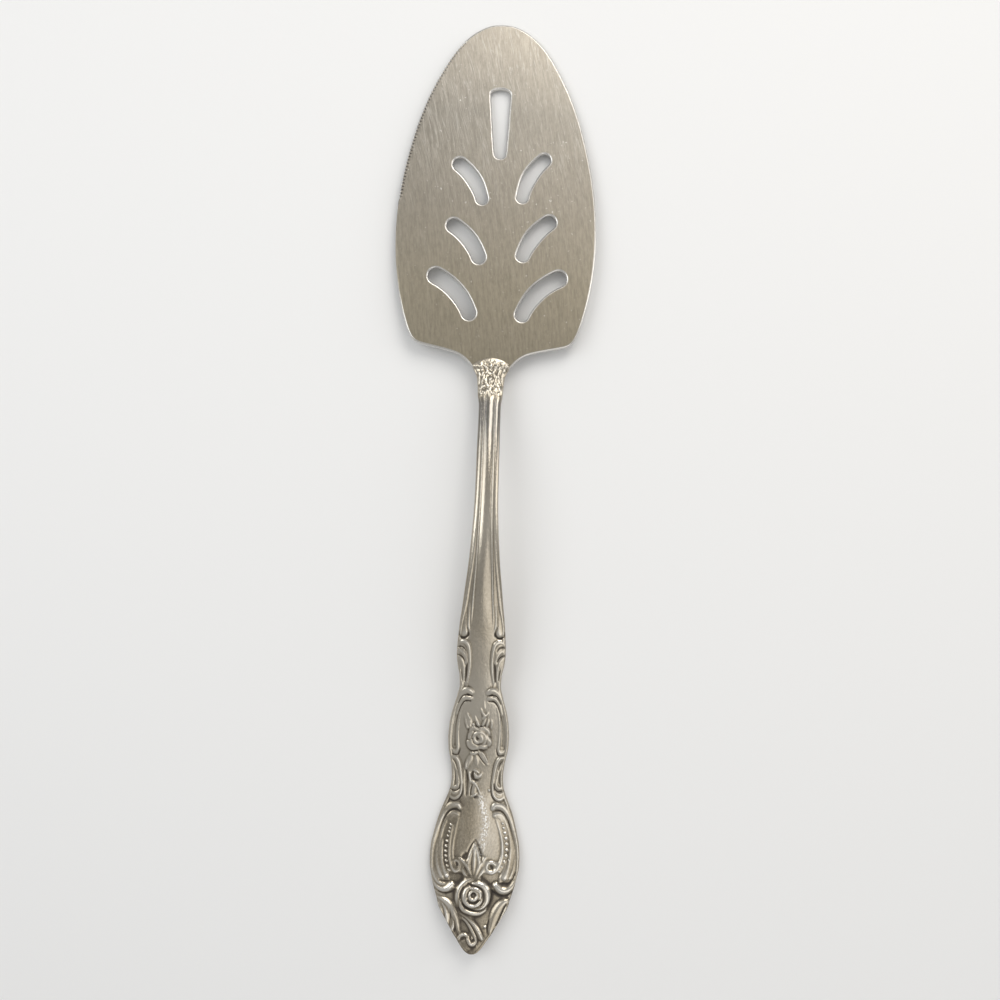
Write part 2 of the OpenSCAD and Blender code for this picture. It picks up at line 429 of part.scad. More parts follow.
// Paired lines along the slim part, as shares of the half width, and its raised middle panel
stem_line_u = [0.44, 0.57];
stem_line_w = 0.3;
stem_line_h = 0.2;
panel_u = 0.4;
panel_h = 0.16;
stem_from = 102;
stem_full = 106;
stem_fade = 160;
stem_to = 170;
function stem_detail(x, s, hw) =
    s < stem_from || s > stem_to ? 0
    : smooth((s - stem_from) / (stem_full - stem_from))
    * (1 - smooth((s - stem_fade) / (stem_to - stem_fade)))
    * (stem_line_h * max([for (u = stem_line_u) max(0, 1 - pow((abs(x) - u * hw) / stem_line_w, 2))])
        + panel_h * max(0, 1 - pow(x / (panel_u * hw), 2)));

// Raised rim a little inside the outline
rim_in = 0.45;
rim_w = 0.5;
function rim_detail(x, s, hw) =
    s < stem_full ? 0 : rim_h * max(0, 1 - pow((hw - abs(x) - rim_in) / rim_w, 2));

// Upper surface of the handle over its underside
function top_over(x, s, hw) =
    let (u = x / hw)
    along(rim_table, s) + along(crown_table, s) * (1 - u * u)
    + relief * max(ornament(x, s), stem_detail(x, s, hw), rim_detail(x, s, hw));

// Stations of the cross-sections: close together on the ornament, wide apart on the plain stem
stem_step = 4.5;
curl_step = 1.1;
collar_step = 0.7;
ornament_step = 0.76;
stations = concat(
    [94.3, 94.5, 94.8],
    [for (s = [95.2 : collar_step : 107]) s],
    [for (s = [108.5 : stem_step : stem_fade]) s],
    [for (s = [stem_fade + 2 : curl_step : stem_to]) s],
    [for (s = [171.2 : ornament_step : 259]) s],
    [259.3, 259.7, 260]
);

// Side walls: a little draft where the handle stands on the sheet, and leaning in under the rim behind it
foot_draft = 0.05;
edge_roll = 0.3;
lean_over = 2;
function foot_in(s) = mix(-foot_draft, edge_roll, smooth((s - root_s) / lean_over));

// Steps from the middle of a section to its rim
across = 17;
function world(x, s, z) = [x * kh_x, total_l / 2 - blade_l - (s - drawn_nose) * kh_s, z];
function section(s) =
    let (hw = along(handle_half, s), b = bottom(s), low = max(hw - foot_in(s), hw * 0.6))
    concat(
        [for (j = [-across : across]) let (x = hw * j / across) world(x, s, b + top_over(x, s, hw))],
        [world(low, s, b), world(-low, s, b)]
    );
ring = 2 * across + 3;
handle_points = [for (s = stations) each section(s)];

module blade() {
    shift = blade_t * sin(blade_tilt);
    color([0.72, 0.69, 0.63])
        translate([0, total_l / 2 - shift, 0])
            rotate([-blade_tilt, 0, 0])
                difference() {
                    linear_extrude(blade_t) blade_outline();
                    translate([0, 0, -1]) linear_extrude(blade_t + 2) tip_slot();
                    for (c = curved_slots)
                        translate([0, 0, -1]) linear_extrude(blade_t + 2) curved_slot(c);
                }
}

module blade_outline() {
    right = [for (p = blade_edge) [p[0], -p[1]]];
    left = [for (i = [len(toothed_edge) - 1 : -1 : 1]) [-toothed_edge[i][0], -toothed_edge[i][1]]];
    polygon(concat(right, left));
}

// Wide end towards the tip, with a flat arch there and a rounded narrow end
module tip_slot() {
    top = -tip_slot_at;
    low = top - tip_slot_l;
    h1 = tip_slot_w1 / 2;
    h2 = tip_slot_w2 / 2;
    half = curve([
        [0, top], [h1 * 0.5, top - 0.2], [h1 * 0.86, top - 0.75], [h1, top - 1.7],
        [mix(h1, h2, 0.3), mix(top, low, 0.35)], [mix(h1, h2, 0.68), mix(top, low, 0.68)],
        [h2, low + 2.2], [h2 * 0.86, low + 0.85], [h2 * 0.5, low + 0.15], [0, low]
    ], 3);
    ring = concat(half, [for (i = [len(half) - 2 : -1 : 1]) [-half[i][0], half[i][1]]]);
    polygon([for (p = ring) [p[0] + tip_slot_lean * (top - p[1]) / tip_slot_l, p[1]]]);
}

// A bent slot whose width changes along it, with round ends
module curved_slot(c) {
    a = [c[0][0] * kb_x, -c[0][1] * kb_s];
    b = [c[1][0] * kb_x, -c[1][1] * kb_s];
    d = (b - a) / norm(b - a);
    up = a[0] < 0 ? [-d[1], d[0]] : [d[1], -d[0]];
    function mid(t) = mix(a, b, t) + up * c[2] * 4 * t * (1 - t);
    function run(t) = let (v = mid(t + 0.01) - mid(t - 0.01)) v / norm(v);
    function wide(t) =
        slot_scale * (t < 0.5 ? mix(c[3], c[4], smooth(2 * t)) : mix(c[4], c[5], smooth(2 * t - 1)));
    function turn(v, g) = [v[0] * cos(g) - v[1] * sin(g), v[0] * sin(g) + v[1] * cos(g)];
    polygon(concat(
        [for (i = [0 : slot_steps]) let (t = i / slot_steps) mid(t) + turn(run(t), 90) * wide(t)],
        [for (i = [1 : cap_steps - 1]) mid(1) + turn(run(1), 90 - 180 * i / cap_steps) * wide(1)],
        [for (i = [slot_steps : -1 : 0]) let (t = i / slot_steps) mid(t) + turn(run(t), -90) * wide(t)],
        [for (i = [1 : cap_steps - 1]) mid(0) + turn(run(0), -90 - 180 * i / cap_steps) * wide(0)]
    ));
}

module handle() {
    rows = len(stations);
    n = ring - 3;
    faces = concat(
        [for (i = [0 : rows - 2], j = [0 : n - 1])
            let (a = i * ring + j, b = a + 1, c = a + ring, d = c + 1)
            each (j < across ? [[a, b, d], [a, d, c]] : [[a, b, c], [b, d, c]])],
        [for (i = [0 : rows - 2])
            let (a = i * ring + n, b = a + 1, c = a + 2, e = a + ring, f = e + 1, g = e + 2,
                h = i * ring, k = h + ring)
            each [[a, b, e], [b, f, e], [b, c, f], [c, g, f], [c, h, g], [h, k, g]]],
        [[for (j = [ring - 1 : -1 : 0]) j]],
        [[for (j = [0 : ring - 1]) (rows - 1) * ring + j]]
    );
    color([0.74, 0.70, 0.62]) polyhedron(handle_points, faces, convexity = 6);
}

module pie_server() {
    union() {
        blade();
        handle();
    }
}

pie_server();
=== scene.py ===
# Pie server: the visual model, its floor, light and camera
import math

import bmesh
import bpy
import numpy as np
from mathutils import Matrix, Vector
from mathutils.geometry import delaunay_2d_cdt


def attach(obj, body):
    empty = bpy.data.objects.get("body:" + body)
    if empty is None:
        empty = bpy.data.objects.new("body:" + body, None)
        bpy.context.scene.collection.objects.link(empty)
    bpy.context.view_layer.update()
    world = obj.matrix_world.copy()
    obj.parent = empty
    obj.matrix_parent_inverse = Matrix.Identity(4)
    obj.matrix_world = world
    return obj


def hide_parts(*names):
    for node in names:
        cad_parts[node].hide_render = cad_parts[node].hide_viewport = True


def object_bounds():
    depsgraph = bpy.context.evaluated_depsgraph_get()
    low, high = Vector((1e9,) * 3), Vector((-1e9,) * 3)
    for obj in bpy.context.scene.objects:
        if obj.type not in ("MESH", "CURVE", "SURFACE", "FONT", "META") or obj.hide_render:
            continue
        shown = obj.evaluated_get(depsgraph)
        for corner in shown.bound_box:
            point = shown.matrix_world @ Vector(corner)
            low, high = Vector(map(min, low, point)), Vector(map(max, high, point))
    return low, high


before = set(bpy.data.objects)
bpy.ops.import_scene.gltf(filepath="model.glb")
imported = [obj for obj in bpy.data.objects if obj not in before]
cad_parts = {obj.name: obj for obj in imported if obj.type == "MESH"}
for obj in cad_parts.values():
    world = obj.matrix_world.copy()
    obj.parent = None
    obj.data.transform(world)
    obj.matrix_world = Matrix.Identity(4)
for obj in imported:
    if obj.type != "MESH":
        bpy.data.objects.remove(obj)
CAD_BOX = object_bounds()

# Millimetres. A station is the distance from the blade's tip along the piece, and the piece is centred
MM = 0.001
TOTAL = 260.0
HALF = TOTAL / 2

# Sheet of the blade, and where the handle begins and leaves it
BLADE_T = 1.3
BLADE_TILT = math.radians(2.4)
TILT_SLOPE = math.tan(BLADE_TILT)
HANDLE_S = 94.3
ROOT_S = 97.7
# The handle's underside starts inside the sheet and leaves it just below, so that no faces coincide
SINK = 0.4
SINK_END_S = 96.6
COVER = 0.04
COVER_END_S = 101.7
# Underside of the handle as (station, height, slope)
SPINE = [
    (ROOT_S, ROOT_S * TILT_SLOPE, TILT_SLOPE),
    (114, 11.5 * 0.69, 0.25),
    (142, 11.5, 0.0),
    (182, 11.5 * 0.55, -0.175),
    (222, 0.0, 0.0),
    (260, 4.2, 0.19),
]
# Height of the handle's edges over its underside, and of its middle over its edges
STEM_T = 2.0
BROAD_T = 1.5
FOOT_T = BLADE_T - SINK + 0.55
RIM_TABLE = [
    (HANDLE_S, FOOT_T), (96.6, FOOT_T + 0.15), (99.5, STEM_T - 0.1), (104, STEM_T), (150, STEM_T),
    (186, BROAD_T + 0.2), (205, BROAD_T), (260, BROAD_T),
]
STEM_CROWN = 0.9
BROAD_CROWN = 0.45
CROWN_TABLE = [
    (HANDLE_S, 0.05), (97, 0.35), (101, STEM_CROWN), (150, STEM_CROWN), (172, BROAD_CROWN + 0.2),
    (190, BROAD_CROWN), (245, BROAD_CROWN), (258, 0.2), (260, 0.1),
]
# Half widths of the handle as (station, half width), and of the blade as (half width, station)
HANDLE_HALF = [
    (HANDLE_S, 0.9), (94.6, 2.2), (95.0, 3.3), (95.5, 4.2), (96.1, 5.0), (96.7, 5.15), (97.4, 5.0),
    (98.2, 4.6), (99.2, 4.1), (100.4, 3.8), (102.5, 3.6), (105, 3.45), (108, 3.05), (113.5, 3.05),
    (119, 3.12), (124.5, 3.14), (130, 3.18), (135.4, 3.3), (140.8, 3.57), (146.2, 3.92), (151.7, 4.38),
    (157.2, 5.0), (162.7, 5.6), (168.2, 6.25), (171.2, 6.5), (173.8, 6.68), (176.2, 6.75), (179.5, 6.4),
    (182.4, 5.85), (185.2, 5.72), (188, 6.3), (190.9, 7.1), (193.8, 7.85), (196.7, 8.3), (200.2, 8.5),
    (203.3, 8.35), (206, 7.85), (208.8, 7.38), (211.5, 7.2), (214.1, 7.4), (216.8, 8.15), (219.8, 9.35),
    (222.5, 10.35), (225.5, 11.2), (228.2, 11.85), (231, 12.4), (233.8, 12.6), (236.5, 12.55),
    (239, 12.1), (241.8, 11.45), (244, 10.75), (245.4, 10.3), (247.4, 9.75), (250, 8.25), (252.6, 6.7),
    (254.6, 5.5), (256.3, 4.3), (257.9, 3.2), (259.1, 2.2), (259.7, 1.45), (260, 0.8),
]
BLADE_HALF = [
    (0, 0), (2.7, 0.2), (5.3, 1.15), (8.3, 3.0), (11.2, 5.7), (13.5, 8.6), (15.5, 11.8), (18.4, 17.2),
    (20.9, 22.9), (22.9, 28.6), (24.5, 34.3), (25.85, 40), (26.9, 45.7), (27.6, 51.3), (27.98, 57),
    (28.05, 60.5), (27.95, 64.5), (27.6, 69.3), (26.9, 74.5), (25.9, 79.7), (24.6, 84.6), (23.5, 87.6),
    (22.4, 89.5), (20.9, 90.6), (18.3, 91.3), (15, 92.0), (12, 92.7), (9.5, 93.5), (7.7, 94.6),
    (6.5, 95.7), (5.75, 96.6), (5.1, 97.3), (4.4, 97.8),
]
# Teeth of the left edge, from and to a place along it. The last ones grow shallower
TOOTH_PITCH = 0.96
TOOTH_DEPTH = 0.46
TOOTH_FROM = 12.0
TOOTH_COUNT = 56
TOOTH_FADE = (58.6, 62.8)
TOOTH_LEAST = 0.15
# One tooth as (share of the pitch, depth, size of the polished edge there)
TOOTH = [
    (0.0, 0.0, 0.4), (0.14, 0.04, 0.5), (0.34, 0.3, 1.1), (0.5, TOOTH_DEPTH, 1.6), (0.66, 0.3, 1.1),
    (0.86, 0.04, 0.45),
]
NOTCH_AT = 0.5
# Slot at the tip as station, length and half widths at its two ends, with its sideways lean
TIP_SLOT = (18.35, 19.7, 2.725, 1.65)
TIP_SLOT_LEAN = 0.4
# Bent slots as two ends (x, station), bow, and half widths at the start, the middle and the end
BENT_SLOTS = [
    ((-10.75, 40.1), (-4.25, 49.6), 1.0, 1.9, 1.95, 1.62),
    ((12.85, 38.2), (7.05, 48.8), 1.1, 1.8, 1.95, 1.6),
    ((-11.85, 57.45), (-4.6, 66.1), 0.95, 2.0, 2.05, 1.9),
    ((14.75, 55.8), (7.7, 65.2), 0.9, 2.0, 2.15, 1.8),
    ((-16.3, 71.75), (-6.8, 81.9), 1.3, 2.25, 2.2, 1.95),
    ((17.9, 71.55), (8.05, 81.95), 1.4, 2.25, 2.2, 1.9),
]


def smooth(t):
    c = np.clip(t, 0, 1)
    return c * c * (3 - 2 * c)


def rise(x, span):
    """Smooth step from 0 to 1 over a span (from, to)."""
    return smooth((x - span[0]) / (span[1] - span[0]))


def hermite(q, h, a, slope_a, b, slope_b):
    """Curve from a to b over a length h with the given slopes, at a share q of the way."""
    return ((2 * q**3 - 3 * q**2 + 1) * a + (q**3 - 2 * q**2 + q) * h * slope_a
            + (3 * q**2 - 2 * q**3) * b + (q**3 - q**2) * h * slope_b)


def interval(starts, s):
    """Which interval between rising values each s lies in."""
    return np.clip(np.searchsorted(starts, s, side="right") - 1, 0, len(starts) - 2)


def along(table, s):
    """Smooth value at s of rows (s, value), the same curve as the solid has."""
    at, value = np.array(table, float).T
    step = np.diff(value) / np.diff(at)
    slope = np.zeros(len(at))
    slope[0], slope[-1] = step[0], step[-1]
    for k in range(1, len(at) - 1):
        a, b = step[k - 1], step[k]
        slope[k] = 0 if a * b <= 0 else 2 * a * b / (a + b)
    i = interval(at, s)
    h = at[i + 1] - at[i]
    q = np.clip((s - at[i]) / h, 0, 1)
    return hermite(q, h, value[i], slope[i], value[i + 1], slope[i + 1])


def bottom(s):
    """Height of the handle's underside at stations."""
    at, height, slope = np.array(SPINE, float).T
    in_sheet = s * TILT_SLOPE + SINK + (-COVER - SINK) * rise(s, (SINK_END_S, ROOT_S))
    beyond = np.maximum(s, ROOT_S)
    i = interval(at, beyond)
    h = at[i + 1] - at[i]
    arch = hermite((beyond - at[i]) / h, h, height[i], slope[i], height[i + 1], slope[i + 1])
    return np.where(s > ROOT_S, arch - COVER * (1 - rise(s, (ROOT_S, COVER_END_S))), in_sheet)


def curve(points, steps):
    """Rounded path through points, with as many steps from each to the next."""
    p = np.array(points, float)
    out = []
    for i in range(len(p) - 1):
        a, b, c, d = p[max(i - 1, 0)], p[i], p[i + 1], p[min(i + 2, len(p) - 1)]
        for k in range(steps):
            t = k / steps
            out.append((2 * b + (c - a) * t + (2 * a - 5 * b + 4 * c - d) * t * t
                        + (3 * b - a - 3 * c + d) * t**3) / 2)
    out.append(p[-1])
    return np.array(out)


# Ornament: raised lines and sunk cuts as paths of (x, station, half width, height)
# Collar: what is mirrored, and what stands on the middle line
COLLAR_PAIRED = [
    [(0, 95.0, 0.6, 0.14), (2.2, 95.25, 0.6, 0.14), (4.0, 96.05, 0.6, 0.14), (5.0, 96.8, 0.42, 0.12)],
    [(4.6, 96.6, 0.36, 0.2), (3.9, 97.4, 0.42, 0.4), (3.35, 98.6, 0.42, 0.42), (3.2, 100.2, 0.36, 0.34),
     (3.3, 101.4, 0.3, 0.2)],
    [(3.6, 96.4, 0.36, 0.2), (2.9, 97.0, 0.46, 0.42), (2.3, 98.2, 0.46, 0.48), (2.1, 99.6, 0.42, 0.42),
     (2.5, 101.4, 0.36, 0.3), (2.9, 102.5, 0.26, 0.16)],
    [(1.9, 96.3, 0.3, 0.2), (1.5, 96.9, 0.4, 0.4), (0.9, 98.0, 0.42, 0.44), (0.3, 98.9, 0.3, 0.3)],
    [(1.2, 99.2, 0.32, 0.3), (1.4, 100.4, 0.4, 0.4), (1.1, 101.7, 0.4, 0.38), (0.5, 102.5, 0.3, 0.24)],
    [(2.0, 102.3, 0.36, 0.3), (2.8, 103.0, 0.46, 0.36), (2.9, 104.0, 0.4, 0.3), (2.4, 104.7, 0.3, 0.16)],
]
COLLAR_ALONE = [
    [(0, 96.2, 0.3, 0.26), (0, 97.1, 0.42, 0.4), (0, 98.0, 0.3, 0.24)],
    [(0, 99.4, 0.36, 0.3), (0, 100.6, 0.5, 0.46), (0, 102.0, 0.4, 0.34)],
    [(0, 102.9, 0.5, 0.3), (0, 104.0, 0.62, 0.42), (0, 105.2, 0.4, 0.3), (0, 106.3, 0.2, 0.12)],
]
# Drop at the end of the stem lines, and the leaf under it with its three lobes
UPPER_LEAF = [
    [(4.55, 161.5, 0.3, 0.05), (4.85, 165, 0.42, 0.14), (5.0, 168, 0.7, 0.22), (5.0, 169.8, 0.9, 0.28),
     (5.1, 170.3, 0.8, 0.26)],
    [(3.6, 162, 0.22, 0.08), (3.75, 166, 0.28, 0.18), (3.75, 168.6, 0.3, 0.24), (3.55, 170.0, 0.3, 0.22)],
    [(6.5, 173.2, 0.5, 0.38), (5.6, 172.8, 0.62, 0.48), (4.7, 172.8, 0.66, 0.54),
     (3.85, 173.5, 0.62, 0.52), (3.4, 174.9, 0.52, 0.46), (3.15, 177, 0.44, 0.4), (3.1, 179.2, 0.4, 0.36),
     (3.3, 181.6, 0.36, 0.32), (3.7, 184.2, 0.26, 0.2)],
    [(6.4, 175.3, 0.5, 0.36), (5.6, 175.3, 0.6, 0.46), (4.8, 176.1, 0.56, 0.46), (4.2, 177.4, 0.44, 0.36),
     (4.0, 178.4, 0.3, 0.22)],
    [(6.4, 177.3, 0.5, 0.34), (5.7, 177.7, 0.56, 0.42), (5.1, 178.7, 0.5, 0.42),
     (4.75, 180.4, 0.42, 0.36), (4.7, 182.6, 0.36, 0.32), (4.9, 184.6, 0.3, 0.26)],
    [(6.3, 178.6, 0.42, 0.3), (5.95, 180.6, 0.46, 0.34), (5.45, 182.7, 0.42, 0.34),
     (5.1, 184.8, 0.42, 0.4)],
]
# Low filled shapes under the lines of the fans and leaves
FILLS = [
    [(6.0, 172.9, 0.7, 0.3), (5.1, 174.0, 1.0, 0.36), (4.4, 176.4, 0.9, 0.36), (4.1, 178.6, 0.6, 0.3)],
    [(6.3, 176.0, 0.6, 0.3), (5.7, 178.2, 0.7, 0.34), (5.5, 181.0, 0.5, 0.3), (5.2, 184.0, 0.4, 0.24)],
    [(7.0, 206.6, 0.5, 0.3), (6.1, 209.0, 0.8, 0.36), (5.5, 212.0, 0.8, 0.36), (5.2, 214.6, 0.6, 0.34)],
    [(5.0, 215.4, 0.5, 0.3), (6.0, 216.8, 0.8, 0.36), (7.1, 216.7, 0.6, 0.3)],
    [(5.6, 222.6, 0.6, 0.14), (6.6, 222.6, 0.7, 0.2), (7.4, 223.6, 0.5, 0.1)],
    [(9.6, 246.0, 0.4, 0.3), (8.4, 247.6, 1.0, 0.4), (7.2, 249.6, 1.0, 0.4), (6.2, 251.8, 0.7, 0.3)],
]
# Cuts round the lobes of the upper leaf
UPPER_CUTS = [
    [(4.15, 168.6, 0.16, 0.2), (3.7, 169.7, 0.26, 0.44), (3.75, 170.8, 0.3, 0.5), (4.4, 171.5, 0.3, 0.5),
     (5.3, 171.6, 0.28, 0.44), (6.1, 171.0, 0.24, 0.34), (6.3, 169.8, 0.18, 0.2)],
    [(4.3, 175.2, 0.16, 0.2), (4.9, 174.35, 0.2, 0.34), (5.7, 174.1, 0.2, 0.34), (6.5, 174.2, 0.2, 0.3)],
    [(4.5, 178.1, 0.16, 0.2), (5.1, 177.1, 0.2, 0.32), (5.8, 176.6, 0.2, 0.32), (6.5, 176.4, 0.2, 0.3)],
    [(3.8, 178.8, 0.16, 0.2), (3.95, 180.5, 0.28, 0.4), (4.0, 182.3, 0.28, 0.4),
     (4.15, 183.8, 0.2, 0.24)],
    [(5.35, 180.6, 0.12, 0.14), (5.15, 182.2, 0.16, 0.26), (5.05, 183.6, 0.12, 0.16)],
]
# Border of the middle panel
MIDDLE_BORDER = [
    [(2.35, 187.0, 0.6, 0.4), (3.1, 186.5, 0.72, 0.54), (4.0, 186.5, 0.78, 0.56), (4.9, 187.1, 0.74, 0.5),
     (5.7, 188.3, 0.62, 0.42), (6.4, 190.1, 0.52, 0.34), (7.0, 192.5, 0.48, 0.28),
     (7.5, 195.2, 0.46, 0.26), (7.85, 198, 0.46, 0.26), (8.0, 201, 0.46, 0.26), (7.8, 203.6, 0.42, 0.26),
     (7.5, 205.1, 0.3, 0.2)],
    [(2.4, 188.7, 0.42, 0.34), (3.3, 188.6, 0.48, 0.44), (4.2, 188.75, 0.48, 0.44),
     (5.0, 189.5, 0.44, 0.36), (5.7, 191.0, 0.4, 0.28), (6.3, 193.2, 0.34, 0.2)],
    [(4.9, 191.3, 0.2, 0.06), (5.4, 193.4, 0.22, 0.1), (5.75, 196, 0.24, 0.14), (5.85, 199, 0.24, 0.16),
     (5.75, 201.6, 0.28, 0.22), (5.7, 203.3, 0.34, 0.32), (6.1, 204.3, 0.38, 0.36),
     (6.8, 204.2, 0.34, 0.32), (7.4, 203.5, 0.26, 0.22)],
]
MIDDLE_CUTS = [
    [(2.3, 187.95, 0.2, 0.3), (3.4, 187.75, 0.24, 0.4), (4.4, 187.9, 0.22, 0.36), (5.2, 188.7, 0.2, 0.26),
     (5.9, 190.2, 0.16, 0.14)],
    [(2.5, 189.5, 0.18, 0.24), (3.5, 189.45, 0.22, 0.36), (4.4, 189.9, 0.22, 0.32),
     (5.2, 191.2, 0.2, 0.24), (5.9, 193.4, 0.2, 0.18), (6.4, 196, 0.3, 0.12), (6.6, 199, 0.34, 0.1),
     (6.6, 202.4, 0.34, 0.12)],
    [(5.0, 203.3, 0.14, 0.14), (5.5, 204.9, 0.2, 0.3), (6.3, 205.2, 0.2, 0.3), (7.2, 204.9, 0.16, 0.2)],
]
# Long leaf at the narrow part
LONG_LEAF = [
    [(7.6, 205.9, 0.4, 0.34), (6.9, 205.8, 0.46, 0.44), (6.1, 206.1, 0.52, 0.54),
     (5.4, 207.3, 0.56, 0.56), (4.95, 209.3, 0.52, 0.52), (4.6, 211.6, 0.46, 0.46),
     (4.35, 213.8, 0.42, 0.44), (4.5, 215.8, 0.44, 0.46), (5.2, 217.2, 0.5, 0.5),
     (6.3, 217.75, 0.56, 0.54), (7.3, 217.3, 0.5, 0.46), (7.8, 216.4, 0.36, 0.3)],
    [(6.9, 207.2, 0.36, 0.24), (6.3, 208.6, 0.44, 0.36), (5.75, 210.8, 0.44, 0.4),
     (5.3, 212.8, 0.44, 0.44), (5.5, 213.9, 0.46, 0.46), (6.2, 214.6, 0.5, 0.48),
     (6.95, 214.4, 0.44, 0.42)],
    [(7.2, 208.2, 0.34, 0.2), (6.8, 210.2, 0.38, 0.3), (6.55, 212.2, 0.36, 0.3),
     (6.7, 213.3, 0.34, 0.26)],
    [(5.1, 215.2, 0.34, 0.3), (5.7, 216.1, 0.44, 0.42), (6.6, 216.35, 0.46, 0.44),
     (7.4, 215.8, 0.36, 0.32)],
]
LONG_CUTS = [
    [(7.0, 206.6, 0.14, 0.16), (6.3, 207.6, 0.16, 0.24), (5.8, 209.3, 0.14, 0.18)],
    [(4.75, 213.4, 0.14, 0.16), (5.0, 214.8, 0.2, 0.34), (5.7, 215.5, 0.2, 0.34), (6.7, 215.5, 0.2, 0.34),
     (7.4, 215.1, 0.16, 0.22)],
    [(6.3, 209.5, 0.12, 0.12), (6.15, 211.8, 0.14, 0.18), (6.3, 213.4, 0.12, 0.16)],
    [(4.0, 213.6, 0.16, 0.16), (4.1, 216.2, 0.22, 0.3), (5.0, 217.9, 0.24, 0.34), (6.3, 218.5, 0.22, 0.3),
     (7.5, 218.1, 0.16, 0.2)],
]
# Border of the broad panel, both sides
BROAD_BORDER = [
    [(4.75, 220.3, 0.6, 0.42), (5.2, 219.6, 0.74, 0.56), (6.2, 219.5, 0.86, 0.6), (7.4, 219.9, 0.9, 0.58),
     (8.6, 221.1, 0.84, 0.5), (9.6, 223.0, 0.72, 0.42), (10.5, 225.6, 0.62, 0.34),
     (11.3, 228.6, 0.58, 0.3), (11.8, 231.6, 0.56, 0.28), (12.0, 234.6, 0.54, 0.28),
     (11.9, 237.4, 0.5, 0.28)],
    [(5.05, 222.4, 0.34, 0.24), (6.1, 222.0, 0.4, 0.28), (7.2, 222.4, 0.38, 0.2),
     (8.2, 223.8, 0.34, 0.12), (9.1, 226.0, 0.32, 0.12), (9.7, 228.4, 0.32, 0.15), (10.0, 231, 0.34, 0.2),
     (9.95, 233.6, 0.36, 0.26)],
]
BROAD_CUTS = [
    [(4.5, 221.4, 0.2, 0.2), (5.4, 221.0, 0.3, 0.42), (6.5, 221.0, 0.3, 0.44), (7.5, 221.5, 0.28, 0.42),
     (8.5, 222.8, 0.26, 0.36), (9.4, 224.8, 0.22, 0.28), (10.1, 227.4, 0.2, 0.18),
     (10.7, 230.4, 0.14, 0.03)],
]
# Bead rows as (x, station, radius), small where they begin
BEADS_RIGHT = [(7.6, 224.5, 0.34), (7.95, 225.75, 0.4), (8.3, 227.1, 0.46), (8.65, 228.6, 0.48),
               (8.88, 230.15, 0.48), (8.95, 231.75, 0.48), (8.8, 233.35, 0.48), (8.3, 234.9, 0.48),
               (7.6, 236.35, 0.42), (6.95, 237.7, 0.36)]
BEADS_LEFT = [(-7.0, 225.2, 0.34), (-7.15, 226.2, 0.26), (-7.35, 227.2, 0.32), (-7.7, 228.4, 0.34),
              (-7.9, 229.8, 0.42), (-8.12, 231.2, 0.46), (-8.17, 232.6, 0.48), (-8.08, 233.9, 0.48),
              (-7.93, 235.2, 0.5), (-7.6, 236.55, 0.5), (-7.1, 237.7, 0.46)]
# Lines of the right side of the broad end, as in the photo
BROAD_RIGHT = [
    [(5.3, 222.6, 0.22, 0.06), (6.1, 224.6, 0.24, 0.1), (6.9, 226.9, 0.28, 0.18),
     (7.5, 229.2, 0.32, 0.28), (7.75, 231.6, 0.32, 0.36), (7.6, 233.8, 0.34, 0.4),
     (7.0, 235.8, 0.36, 0.44), (6.1, 237.4, 0.4, 0.48), (5.1, 238.1, 0.42, 0.5), (4.0, 237.9, 0.4, 0.48),
     (3.45, 237.0, 0.36, 0.46), (3.55, 236.0, 0.36, 0.46), (4.3, 235.3, 0.36, 0.46),
     (5.2, 235.4, 0.34, 0.44), (5.8, 236.0, 0.28, 0.34)],
    [(10.0, 231.5, 0.36, 0.26), (9.9, 234.2, 0.46, 0.34), (9.5, 236.6, 0.62, 0.42),
     (8.9, 238.6, 0.86, 0.52), (8.5, 239.3, 0.86, 0.52)],
    [(8.9, 234.6, 0.26, 0.16), (8.6, 236.6, 0.34, 0.3), (8.0, 238.4, 0.4, 0.36), (7.4, 239.6, 0.34, 0.3)],
    [(11.3, 232.5, 0.3, 0.16), (11.2, 235.4, 0.4, 0.26), (10.7, 237.8, 0.46, 0.34),
     (9.9, 239.5, 0.46, 0.36)],
    [(12.1, 239.3, 0.42, 0.34), (11.4, 240.8, 0.62, 0.5), (10.4, 242.1, 0.8, 0.64),
     (9.2, 242.8, 0.92, 0.72), (7.9, 242.8, 0.96, 0.76), (6.9, 242.2, 0.92, 0.76),
     (6.2, 241.5, 0.8, 0.7)],
    [(11.9, 242.3, 0.3, 0.16), (11.0, 243.5, 0.36, 0.2), (9.6, 244.6, 0.3, 0.14)],
    [(10.0, 245.5, 0.4, 0.4), (8.9, 245.9, 0.8, 0.6), (7.8, 246.9, 1.15, 0.68), (6.9, 248.4, 1.3, 0.66),
     (6.2, 250.2, 1.25, 0.58), (5.7, 251.9, 1.0, 0.48), (5.2, 253.4, 0.7, 0.36), (5.0, 254.3, 0.4, 0.22)],
    [(9.7, 246.5, 0.3, 0.44), (9.2, 247.6, 0.34, 0.56), (8.6, 248.9, 0.36, 0.56),
     (8.0, 250.2, 0.34, 0.48), (7.2, 251.7, 0.34, 0.4), (6.4, 253.0, 0.3, 0.3)],
]
